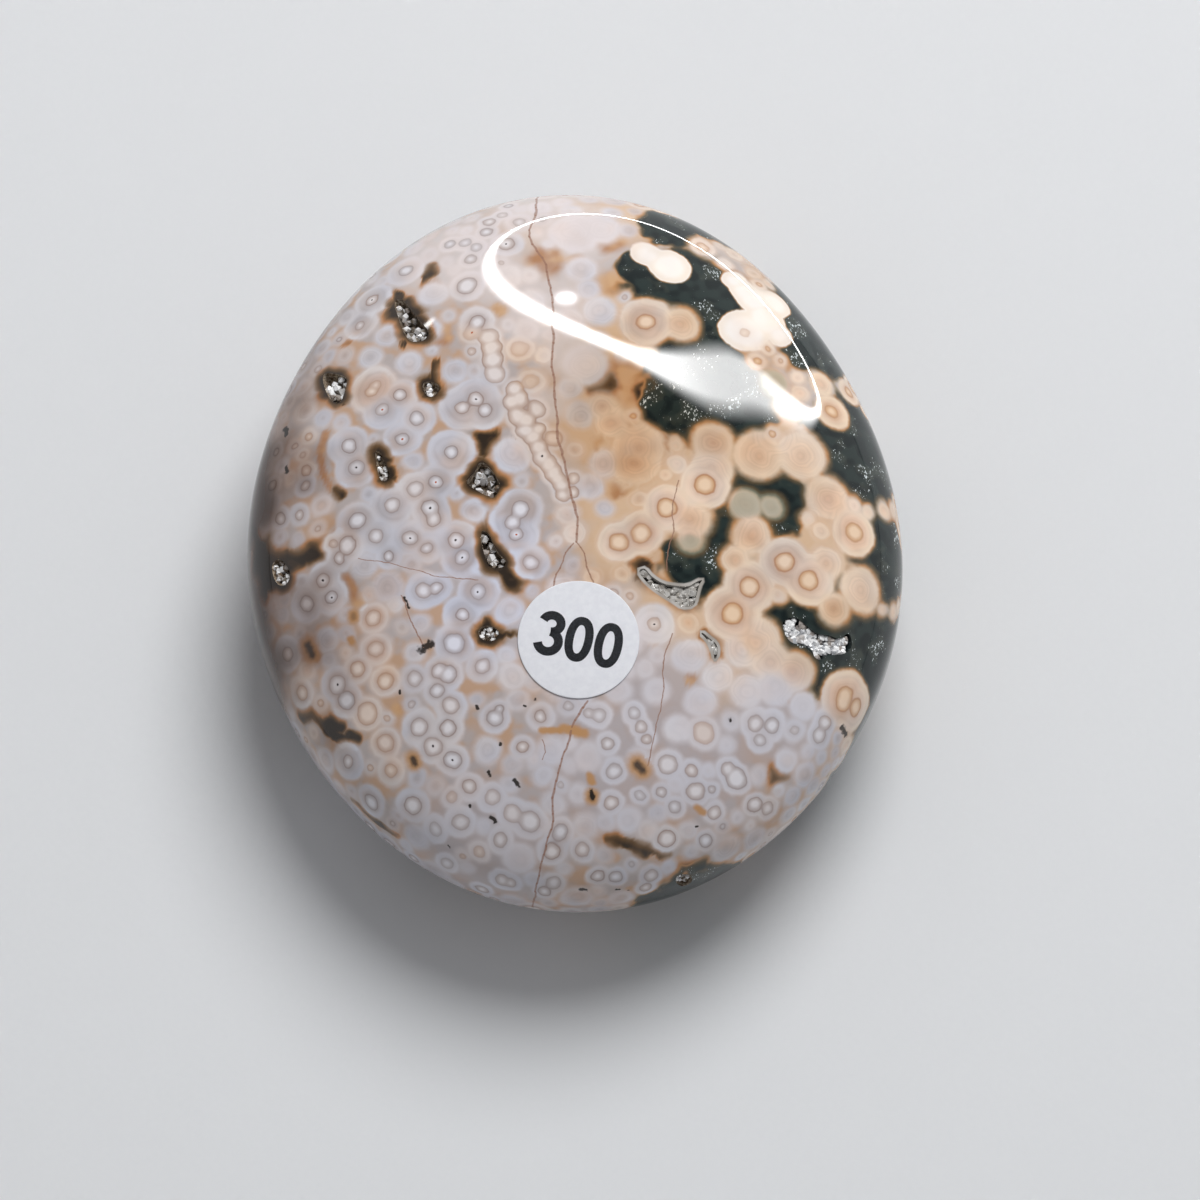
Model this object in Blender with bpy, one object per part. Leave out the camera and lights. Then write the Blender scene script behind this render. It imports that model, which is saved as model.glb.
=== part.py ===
"""Ocean jasper palm stone, lying on its back on the small flat spot ground into its underside.

The polished face with the round number sticker looks up. X runs across the stone, Y along it and
Z up from the surface that it lies on. The origin is under the middle of the stone. The open
pockets in the face are lined with crusts of small quartz crystals.
"""

import math
import random

import bmesh
import bpy
from mathutils import Vector
from mathutils.geometry import delaunay_2d_cdt

MM = 0.001

# Driving dimensions of the stone
MEAN_RADIUS = 34.9 * MM  # of the plan outline
LONG_LOBE = 2.6 * MM  # how far the two ends stand out, and the two sides in
LONG_AXIS = math.radians(94.0)
EGG_LOBE = 0.26 * MM  # makes three corners, hardly seen
EGG_AXIS = math.radians(-26.0)
SQUARE_LOBE = 0.42 * MM  # makes four corners, hardly seen
OUTLINE_SHIFT = Vector((-0.07, -0.25)) * MM  # brings the outline's box onto the origin
FACE_RISE = 12.5 * MM  # from the widest level up to the top of the face
BACK_DROP = 12.9 * MM  # from the widest level down to the back, before the flat spot
REST_DROP = 12.5 * MM  # from the widest level down to the flat spot
FULLNESS = 2.3  # 2 gives an ellipsoid, more gives a fuller pillow

# The sloping look at the face from which the pockets and the sticker are placed
LOOK_TILT = math.radians(21.0)  # off the vertical, from the low Y end
LOOK_CENTRE = Vector((0.11, 0.25)) * MM  # the middle of the stone's outline in that look

# The number sticker
STICKER_ACROSS = 12.1 * MM
STICKER_THICKNESS = 0.12 * MM
STICKER_SEEN = Vector((0.27, -9.02)) * MM

# Pockets and their crystals
TOUCH_GAP = 0.3 * MM
WALL_GAP = 0.45 * MM  # how far a pocket's mouth lies outside the crystals in it
CRYSTAL_STEP = 0.75 * MM  # from one crystal point to the next
POINT_BELOW_FACE = 0.3 * MM  # from the face down to the tallest crystal
PEAK_BELOW_FACE = 0.4 * MM  # the same for the one blunt crystal in a small pit
MOUTH_FLARE = 0.25 * MM
CUTTER_ABOVE = 1.2 * MM

# How finely the stone is divided
SEGMENTS = 96
FACE_RINGS = 14
BACK_RINGS = 11

# Each lined pocket: its depth, then the outline of its crystals in the sloping look, all in mm
LINED_POCKETS = {
    "upper_left": (1.7, [
        (-18.3, 24.8), (-17.4, 25.1), (-16.5, 23.8), (-15.4, 22.5), (-14.6, 21.6),
        (-15.3, 20.7), (-16.6, 20.7), (-17.3, 21.9), (-17.8, 23.4)]),
    "left_edge": (1.7, [
        (-25.4, 17.6), (-24.0, 17.5), (-22.8, 17.1), (-23.1, 15.8), (-23.5, 14.5),
        (-24.5, 14.8), (-25.1, 16.1)]),
    "middle_upper": (2.0, [
        (-9.6, 8.7), (-8.8, 8.3), (-7.9, 7.1), (-7.5, 6.2), (-8.1, 5.0),
        (-8.9, 5.3), (-11.0, 6.5), (-10.5, 7.1), (-9.9, 7.7)]),
    "middle_lower": (1.8, [
        (-9.4, 1.9), (-8.6, 1.5), (-8.1, 0.0), (-7.4, -0.8), (-6.8, -1.3),
        (-7.3, -1.9), (-8.6, -1.9), (-9.0, -0.7), (-9.4, 0.7)]),
    "beside_sticker": (2.0, [
        (6.1, -1.8), (7.1, -1.9), (7.9, -3.0), (9.2, -3.4), (10.7, -3.6), (11.8, -3.2),
        (12.8, -2.8), (12.4, -3.9), (11.9, -5.8), (11.2, -6.1), (10.0, -5.7),
        (8.2, -4.2), (6.8, -3.2)]),
    "right_side": (1.4, [
        (20.2, -7.3), (21.8, -6.7), (22.9, -7.5), (24.3, -8.1), (25.7, -8.6), (27.1, -8.5),
        (27.6, -9.8), (26.2, -10.4), (24.6, -11.2), (23.4, -10.7), (22.4, -9.7),
        (21.0, -9.2), (20.4, -8.3)]),
}

# Each small open pit, too narrow for a crust of its own, in the same form
SMALL_PITS = {
    "upper_small": (0.9, [
        (-15.4, 16.5), (-14.5, 16.7), (-13.6, 16.3), (-14.0, 15.2), (-14.9, 15.2)]),
    "left_slit": (0.9, [
        (-20.0, 9.9), (-19.4, 9.5), (-19.0, 8.3), (-18.4, 7.1), (-19.1, 6.6),
        (-19.6, 7.1), (-19.8, 8.3)]),
    "left_rim": (1.0, [
        (-30.2, -1.5), (-29.6, -1.1), (-28.9, -1.8), (-28.5, -2.6), (-28.9, -3.5),
        (-29.6, -3.5), (-30.1, -2.5)]),
    "left_of_sticker": (1.0, [
        (-9.6, -7.9), (-8.6, -7.6), (-7.6, -8.1), (-7.8, -9.0), (-8.9, -9.2), (-9.6, -8.7)]),
    "crescent": (0.8, [
        (12.2, -8.2), (12.9, -8.2), (13.6, -9.1), (14.3, -10.1), (13.9, -11.1),
        (13.4, -10.8), (13.3, -10.0), (12.7, -9.1)]),
    "bottom_rim": (0.9, [
        (10.0, -32.4), (11.3, -32.3), (11.6, -33.1), (10.6, -33.6), (9.9, -33.1)]),
}


def clear_scene():
    for old in list(bpy.data.objects):
        bpy.data.objects.remove(old, do_unlink=True)


def plain_material(name, colour, roughness, metallic=0.0):
    material = bpy.data.materials.new(name)
    material.use_nodes = True
    shader = material.node_tree.nodes["Principled BSDF"]
    shader.inputs["Base Color"].default_value = (*colour, 1.0)
    shader.inputs["Roughness"].default_value = roughness
    shader.inputs["Metallic"].default_value = metallic
    return material


def make_object(name, mesh, material=None):
    made = bpy.data.objects.new(name, mesh)
    bpy.context.scene.collection.objects.link(made)
    if material:
        mesh.materials.append(material)
    return made


# The shape of the stone


def outline_radius(angle):
    """Distance from the middle of the plan outline to its edge, in the direction of angle."""
    return (
        MEAN_RADIUS
        + LONG_LOBE * math.cos(2 * (angle - LONG_AXIS))
        + EGG_LOBE * math.cos(3 * (angle - EGG_AXIS))
        + SQUARE_LOBE * math.cos(4 * angle)
    )


def stone_point(angle, rise):
    """Point on the stone in a plan direction. rise is 0 at the widest level, 90 degrees at the
    top of the face and minus 90 at the back, along a superellipse."""
    share = math.cos(rise) ** (2 / FULLNESS)
    height = abs(math.sin(rise)) ** (2 / FULLNESS)
    level = FACE_RISE * height if rise >= 0 else -BACK_DROP * height
    radius = outline_radius(angle) * share
    return Vector((
        OUTLINE_SHIFT.x + radius * math.cos(angle),
        OUTLINE_SHIFT.y + radius * math.sin(angle),
        REST_DROP + level,
    ))


def depth_share(point):
    """1 on the stone's surface, less inside it and more outside."""
    x = point.x - OUTLINE_SHIFT.x
    y = point.y - OUTLINE_SHIFT.y
    level = point.z - REST_DROP
    reach = FACE_RISE if level >= 0 else BACK_DROP
    out = math.hypot(x, y) / outline_radius(math.atan2(y, x))
    return out**FULLNESS + (abs(level) / reach) ** FULLNESS


def outward(point):
    """Unit vector square to the surface at a point on it."""
    step = 0.05 * MM
    slopes = []
    for axis in (Vector((step, 0, 0)), Vector((0, step, 0)), Vector((0, 0, step))):
        slopes.append(depth_share(point + axis) - depth_share(point - axis))
    return Vector(slopes).normalized()


def seen_point(across, up):
    """Where the look at the face, tilted by LOOK_TILT, meets the stone. across and up are
    distances from the middle of the outline in that look."""
    towards_eye = Vector((0, -math.sin(LOOK_TILT), math.cos(LOOK_TILT)))
    up_the_look = Vector((0, math.cos(LOOK_TILT), math.sin(LOOK_TILT)))
    start = Vector((across + LOOK_CENTRE.x, 0, REST_DROP)) + (up + LOOK_CENTRE.y) * up_the_look
    step = 0.5 * MM
    out = 3 * FACE_RISE
    while depth_share(start + out * towards_eye) > 1:
        out -= step
    inner, outer = out, out + step
    for _ in range(24):
        middle = (inner + outer) / 2
        if depth_share(start + middle * towards_eye) > 1:
            outer = middle
        else:
            inner = middle
    return start + inner * towards_eye


def add_ring(shape, points):
    return [shape.verts.new(point) for point in points]


def join_rings(shape, lower, upper):
    count = len(lower)
    for i in range(count):
        j = (i + 1) % count
        shape.faces.new((lower[i], lower[j], upper[j], upper[i]))


def make_stone_body():
    """Rings from the flat spot up round the widest level to the top of the face."""
    rest_rise = -math.asin((REST_DROP / BACK_DROP) ** (FULLNESS / 2))
    rises = [rest_rise * (1 - i / BACK_RINGS) for i in range(BACK_RINGS)]
    rises += [math.pi / 2 * i / FACE_RINGS for i in range(FACE_RINGS)]
    angles = [2 * math.pi * i / SEGMENTS for i in range(SEGMENTS)]
    shape = bmesh.new()
    rings = [add_ring(shape, [stone_point(a, rise) for a in angles]) for rise in rises]
    for lower, upper in zip(rings, rings[1:]):
        join_rings(shape, lower, upper)
    shape.faces.new(reversed(rings[0]))
    top = shape.verts.new(stone_point(0, math.pi / 2))
    for i in range(SEGMENTS):
        shape.faces.new((rings[-1][i], rings[-1][(i + 1) % SEGMENTS], top))
    mesh = bpy.data.meshes.new("stone")
    shape.to_mesh(mesh)
    shape.free()
    mesh.shade_smooth()
    mesh.set_sharp_from_angle(angle=math.radians(35))
    return mesh


# Pockets


class PocketPlane:
    """The plane that touches the stone at a pocket: points on it, and heights above it."""

    def __init__(self, seen_outline):
        corners = [seen_point(across * MM, up * MM) for across, up in seen_outline]
        self.middle = sum(corners, Vector()) / len(corners)
        self.up = outward(self.middle)
        self.east = Vector((0, 1, 0)).cross(self.up).normalized()
        self.north = self.up.cross(self.east)
        self.corners = [self.flat(corner) for corner in corners]
        if signed_area(self.corners) < 0:
            self.corners.reverse()

    def flat(self, point):
        offset = point - self.middle
        return Vector((offset.dot(self.east), offset.dot(self.north)))

    def solid(self, flat_point, height):
        return (
            self.middle + flat_point.x * self.east + flat_point.y * self.north + height * self.up
        )


def signed_area(corners):
    total = 0.0
    for here, there in zip(corners, corners[1:] + corners[:1]):
        total += here.x * there.y - there.x * here.y
    return total / 2


def grown(corners, distance):
    """The outline moved outwards by distance, square to its sides."""
    moved = []
    count = len(corners)
    for i, corner in enumerate(corners):
        before = (corner - corners[i - 1]).normalized()
        after = (corners[(i + 1) % count] - corner).normalized()
        way = Vector((before.y + after.y, -before.x - after.x)).normalized()
        moved.append(corner + distance * way)
    return moved


def add_cutter(shape, plane, depth, peaked):
    """A closed tapered plug: wide above the face, narrower at the pocket's floor. A peaked floor
    leaves one blunt crystal standing in the pit."""
    levels = (
        (WALL_GAP + MOUTH_FLARE, CUTTER_ABOVE),
        (WALL_GAP, 0.0),
        (TOUCH_GAP, -depth),
    )
    rings = []
    for out, height in levels:
        points = [plane.solid(c, height) for c in grown(plane.corners, out)]
        rings.append(add_ring(shape, points))
    for upper, lower in zip(rings, rings[1:]):
        join_rings(shape, lower, upper)
    shape.faces.new(rings[0])
    floor = rings[-1]
    if not peaked:
        shape.faces.new(reversed(floor))
        return
    peak = shape.verts.new(plane.solid(Vector((0, 0)), -PEAK_BELOW_FACE))
    for here, there in zip(floor, floor[1:] + floor[:1]):
        shape.faces.new((there, here, peak))


def make_pocket_cutter(lined, small):
    shape = bmesh.new()
    for plane, depth in lined:
        add_cutter(shape, plane, depth, peaked=False)
    for plane, depth in small:
        add_cutter(shape, plane, depth, peaked=True)
    bmesh.ops.triangulate(shape, faces=shape.faces[:])
    bmesh.ops.recalc_face_normals(shape, faces=shape.faces[:])
    mesh = bpy.data.meshes.new("pocket_cutter")
    shape.to_mesh(mesh)
    shape.free()
    cutter = make_object("pocket_cutter", mesh)
    cutter.hide_render = True
    cutter.display_type = "WIRE"
    return cutter


def inside_outline(point, corners, margin):
    """True where the point is in the outline and at least margin from its sides."""
    within = False
    for here, there in zip(corners, corners[1:] + corners[:1]):
        side = there - here
        along = max(0.0, min(1.0, (point - here).dot(side) / side.length_squared))
        if (point - here - along * side).length < margin:
            return False
        if (here.y > point.y) != (there.y > point.y):
            crossing = here.x + (point.y - here.y) * side.x / side.y
            within ^= point.x < crossing
    return within


def crystal_lattice(corners, rng):
    """Points of a triangle lattice inside the outline. One in three is a crystal's point, and
    the six around it are the valley between it and its neighbours."""
    step = CRYSTAL_STEP / math.sqrt(3)
    reach = max(corner.length for corner in corners)
    count = int(reach / step) + 2
    points, tall = [], []
    for row in range(-count, count + 1):
        for column in range(-count, count + 1):
            spot = Vector(((column + row / 2) * step, row * step * math.sqrt(3) / 2))
            spot += Vector((rng.uniform(-0.12, 0.12), rng.uniform(-0.12, 0.12))) * step
            if inside_outline(spot, corners, 0.4 * step):
                points.append(spot)
                tall.append((column - row) % 3 == 0)
    return points, tall


def make_crust(name, plane, depth, material, rng):
    """A closed bed of pointed crystals: flat below, a side wall round the outline, and a six
    sided point over each tall place of the lattice."""
    edge = plane.corners
    inner, tall = crystal_lattice(edge, rng)
    floor = -depth + TOUCH_GAP
    valley = -0.62 * depth
    tip = -POINT_BELOW_FACE
    flats, _, faces, origins, _, _ = delaunay_2d_cdt(
        edge + inner, [], [list(range(len(edge)))], 1, 1e-7
    )
    shape = bmesh.new()
    tops = []
    for spot, sources in zip(flats, origins):
        is_tall = bool(sources) and sources[0] >= len(edge) and tall[sources[0] - len(edge)]
        height = tip - rng.uniform(0.0, 0.25) * depth if is_tall else valley
        tops.append(shape.verts.new(plane.solid(spot, height)))
    for face in faces:
        shape.faces.new([tops[i] for i in face])
    bottoms = add_ring(shape, [plane.solid(corner, floor) for corner in edge])
    rim = [None] * len(edge)
    for top, sources in zip(tops, origins):
        for source in sources:
            if source < len(edge):
                rim[source] = top
    join_rings(shape, bottoms, rim)
    shape.faces.new(reversed(bottoms))
    bmesh.ops.triangulate(shape, faces=shape.faces[:])
    bmesh.ops.recalc_face_normals(shape, faces=shape.faces[:])
    mesh = bpy.data.meshes.new(name)
    shape.to_mesh(mesh)
    shape.free()
    return make_object(name, mesh, material)


# The sticker


def make_sticker(material):
    """A thin round dot bent to the face, TOUCH_GAP above it."""
    middle = seen_point(*STICKER_SEEN)
    up = outward(middle)
    east = Vector((0, 1, 0)).cross(up).normalized()
    north = up.cross(east)
    count = 32

    def lifted(radius, angle, height):
        spot = middle + radius * (math.cos(angle) * east + math.sin(angle) * north)
        for _ in range(4):
            spot -= up * (depth_share(spot) - 1) * MM / (
                depth_share(spot + MM * up) - depth_share(spot)
            )
        return spot + height * outward(spot)

    shape = bmesh.new()
    angles = [2 * math.pi * i / count for i in range(count)]
    sides = []
    for height in (TOUCH_GAP, TOUCH_GAP + STICKER_THICKNESS):
        rim = add_ring(shape, [lifted(STICKER_ACROSS / 2, a, height) for a in angles])
        inner = add_ring(shape, [lifted(STICKER_ACROSS / 4, a, height) for a in angles])
        centre = shape.verts.new(lifted(0.0, 0.0, height))
        join_rings(shape, rim, inner)
        for i in range(count):
            shape.faces.new((inner[i], inner[(i + 1) % count], centre))
        sides.append(rim)
    join_rings(shape, sides[0], sides[1])
    bmesh.ops.recalc_face_normals(shape, faces=shape.faces[:])
    mesh = bpy.data.meshes.new("number_sticker")
    shape.to_mesh(mesh)
    shape.free()
    mesh.shade_smooth()
    mesh.set_sharp_from_angle(angle=math.radians(35))
    return make_object("number_sticker", mesh, material)


def main():
    clear_scene()
    polished = plain_material("polished jasper", (0.62, 0.52, 0.44), 0.08)
    quartz = plain_material("druzy quartz", (0.72, 0.69, 0.62), 0.15)
    paper = plain_material("sticker paper", (0.86, 0.87, 0.89), 0.6)

    stone = make_object("stone", make_stone_body(), polished)
    lined = {name: (PocketPlane(seen), depth * MM) for name, (depth, seen) in LINED_POCKETS.items()}
    small = [(PocketPlane(seen), depth * MM) for depth, seen in SMALL_PITS.values()]
    cut = stone.modifiers.new("Pockets", "BOOLEAN")
    cut.operation = "DIFFERENCE"
    cut.solver = "EXACT"
    cut.object = make_pocket_cutter(lined.values(), small)

    rng = random.Random(5)
    for name, (plane, depth) in lined.items():
        make_crust(f"crust_{name}", plane, depth, quartz, rng)
    make_sticker(paper)


main()
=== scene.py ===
"""The looks of a polished ocean jasper palm stone that lies on the flat spot of its back.

The stone is cut through a bed of orbs: each has a small round nucleus with a thin dark outline,
and a banded shell round it. Shells that meet share one outer edge. Between them lie pale
chalcedony, brown gaps lined with quartz and, on the right, dark green jasper with bright specks.
Lengths are millimetres until a mesh is made. Places on the face are given as seen in the sloping
look at it: millimetres to the right of, and up from, the middle of the stone's outline.
"""

import math
from functools import reduce
from types import SimpleNamespace

import bpy
import numpy as np
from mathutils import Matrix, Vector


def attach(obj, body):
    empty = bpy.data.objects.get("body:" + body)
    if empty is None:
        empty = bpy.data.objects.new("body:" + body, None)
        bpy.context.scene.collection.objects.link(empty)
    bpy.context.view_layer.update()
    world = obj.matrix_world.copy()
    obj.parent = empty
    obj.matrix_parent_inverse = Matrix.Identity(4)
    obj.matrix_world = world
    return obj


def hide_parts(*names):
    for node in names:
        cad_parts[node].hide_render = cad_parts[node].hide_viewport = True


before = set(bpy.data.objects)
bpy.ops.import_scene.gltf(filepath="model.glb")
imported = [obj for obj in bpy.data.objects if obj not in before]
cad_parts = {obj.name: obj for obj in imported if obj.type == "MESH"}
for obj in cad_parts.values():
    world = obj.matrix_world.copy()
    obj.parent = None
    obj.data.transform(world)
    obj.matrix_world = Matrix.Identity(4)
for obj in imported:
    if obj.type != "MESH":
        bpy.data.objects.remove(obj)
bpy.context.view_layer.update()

MM = 0.001

# The stone, as its solid is built
MEAN_RADIUS = 34.9
LONG_LOBE, LONG_AXIS = 2.6, math.radians(94.0)
EGG_LOBE, EGG_AXIS = 0.26, math.radians(-26.0)
SQUARE_LOBE = 0.42
OUTLINE_SHIFT = np.array((-0.07, -0.25))
FACE_RISE = 12.5
BACK_DROP = 12.9
REST_DROP = 12.5
FULLNESS = 2.3

# The sloping look at the face
LOOK_TILT = math.radians(21.0)
LOOK_CENTRE = np.array((0.11, 0.25))
TOWARDS_EYE = np.array((0.0, -math.sin(LOOK_TILT), math.cos(LOOK_TILT)))
UP_THE_LOOK = np.array((0.0, math.cos(LOOK_TILT), math.sin(LOOK_TILT)))
ACROSS_THE_LOOK = np.array((1.0, 0.0, 0.0))
WIDEST_LEVEL = np.array((0.0, 0.0, REST_DROP))  # the middle of the stone, where lamps are aimed

# How finely the stone is divided, and how far inside its skin a pocket's wall begins
GRID_SIDE = 201  # points along each side of the square that is bent into a face or a back
SKIN_SHARE = 0.994
FLAT_SPOT_LEVEL = 0.5  # nothing below it is a wall

# The sticker and its number
STICKER_RADIUS = 6.05
STICKER_SEEN = (0.27, -9.02)
STICKER_LIFT = 0.04
STICKER_THICKNESS = 0.1
STICKER_TURNS = 96
CUT_EDGE = 0.02  # how far the paper's edge is rounded over
NUMBER_TURN = math.radians(-12.0)
NUMBER_SCALE = 1.06
INK_SUNK, INK_PROUD = 0.02, 0.015  # how far the ink reaches into and stands over the paper
PEN_HALF_WIDTH = 0.42

# Pockets: the kind of crystals, the depth, how deep the crystals begin as a share of it, how far
# the mouth lies outside the crystals, and the outline of the crystals, as seen
POCKETS = {
    "upper_left": ("broad", 1.7, 0.3, 0.05, [
        (-18.3, 24.8), (-17.4, 25.1), (-16.5, 23.8), (-15.4, 22.5), (-14.6, 21.6), (-15.3, 20.7),
        (-16.6, 20.7), (-17.3, 21.9), (-17.8, 23.4)]),
    "left_edge": ("broad", 1.7, 0.2, 0.05, [
        (-25.4, 17.6), (-24, 17.5), (-22.8, 17.1), (-23.1, 15.8), (-23.5, 14.5), (-24.5, 14.8),
        (-25.1, 16.1)]),
    "middle_upper": ("broad", 2.0, 0.3, 0.05, [
        (-9.6, 8.7), (-8.8, 8.3), (-7.9, 7.1), (-7.5, 6.2), (-8.1, 5), (-8.9, 5.3), (-11, 6.5),
        (-10.5, 7.1), (-9.9, 7.7)]),
    "middle_lower": ("broad", 1.8, 0.3, 0.05, [
        (-9.4, 1.9), (-8.6, 1.5), (-8.1, 0), (-7.4, -0.8), (-6.8, -1.3), (-7.3, -1.9), (-8.6, -1.9),
        (-9, -0.7), (-9.4, 0.7)]),
    "beside_sticker": ("grey", 2.0, 0.05, -0.2, [
        (6.05, -2.2), (6.4, -1.8), (7, -1.8), (7.6, -2.6), (8.7, -3.3), (9.9, -3.5), (11.2, -3.6),
        (11.7, -3.2), (12.8, -2.9), (12.5, -3.5), (12.2, -4.6), (11.9, -5.9), (10.4, -6), (9.8, -5.5),
        (8.6, -4.8), (7.2, -3.8), (6.4, -2.9)]),
    "right_side": ("white", 1.4, 0.0, 0.0, [
        (20.4, -7.1), (21.8, -6.7), (22.7, -7.4), (23.9, -8.5), (25.3, -8.6), (26.2, -9.1), (27.2, -8.2),
        (27.6, -9.6), (27, -10.4), (25.8, -10.6), (24.8, -10.5), (24.5, -11.1), (23.7, -10.9),
        (23.5, -10), (22.6, -9.6), (21.4, -9.4), (20.7, -8.5)]),
    "upper_small": ("small", 0.9, 0.3, 0.05, [
        (-15.4, 16.5), (-14.5, 16.7), (-13.6, 16.3), (-14, 15.2), (-14.9, 15.2)]),
    "left_slit": ("small", 0.9, 0.3, 0.05, [
        (-20, 9.9), (-19.4, 9.5), (-19, 8.3), (-18.4, 7.1), (-19.1, 6.6), (-19.6, 7.1), (-19.8, 8.3)]),
    "left_rim": ("small", 1.0, 0.3, 0.2, [
        (-30.2, -1.5), (-29.6, -1.1), (-28.9, -1.8), (-28.5, -2.6), (-28.9, -3.5), (-29.6, -3.5),
        (-30.1, -2.5)]),
    "left_of_sticker": ("small", 1.0, 0.3, 0.05, [
        (-9.6, -7.9), (-8.6, -7.6), (-7.6, -8.1), (-7.8, -9), (-8.9, -9.2), (-9.6, -8.7)]),
    "crescent": ("grey", 0.8, 0.05, -0.1, [
        (12.3, -8.4), (12.6, -8.2), (13.4, -8.9), (14.1, -9.4), (14.2, -10.3), (14, -11), (13.7, -11.1),
        (13.6, -10.4), (13.2, -9.4), (12.7, -8.8)]),
    "bottom_rim": ("small", 0.9, 0.3, 0.05, [
        (10, -32.4), (11.3, -32.3), (11.6, -33.1), (10.6, -33.6), (9.9, -33.1)]),
}
# Their spacing, how stout they are for it, and their quartz
CRYSTALS = {
    "broad": (0.64, 1.1, "druzy quartz"),
    "small": (0.50, 1.0, "druzy quartz"),
    "grey": (0.40, 1.9, "grey quartz crust"),
    "white": (0.42, 1.7, "white quartz crust"),
}
# The colours of its facets painted shaded and painted silvery, a painted sparkle, and how strongly some are
# painted white as glare or are stained
QUARTZES = {
    "druzy quartz": ((118, 108, 96), (250, 250, 252), 1.0),
    "grey quartz crust": ((160, 155, 148), (200, 197, 192), 0.15),
    "white quartz crust": ((186, 188, 192), (255, 255, 255), 1.0),
}
BED_SLOPE, BED_FLOOR = 1.4, 0.95  # how far in the crystals' bed falls, and to what share of the depth
BED_FULL = 0.85  # how much of the bed's lattice is taken
CRYSTAL_ROOT = 0.15  # how far a crystal reaches below its bed
CRYSTAL_LEAN = 0.42  # how far it leans, as a share of its length
CRYSTAL_LEAST = 0.3  # its least length
CRYSTAL_CLEAR = 0.1  # how far it stands inside the mouth's edge, and stays below its level
# A pocket's plug from above the face down: how wide it is, as a share of the mouth, and how high,
# in millimetres above the face and as a share of the depth below it
PLUG_LEVELS = ((1.04, 1.2), (1.0, 0.0), (0.97, -0.4), (0.9, -0.75), (0.74, -1.0))
POCKET_SEED = 7

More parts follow.
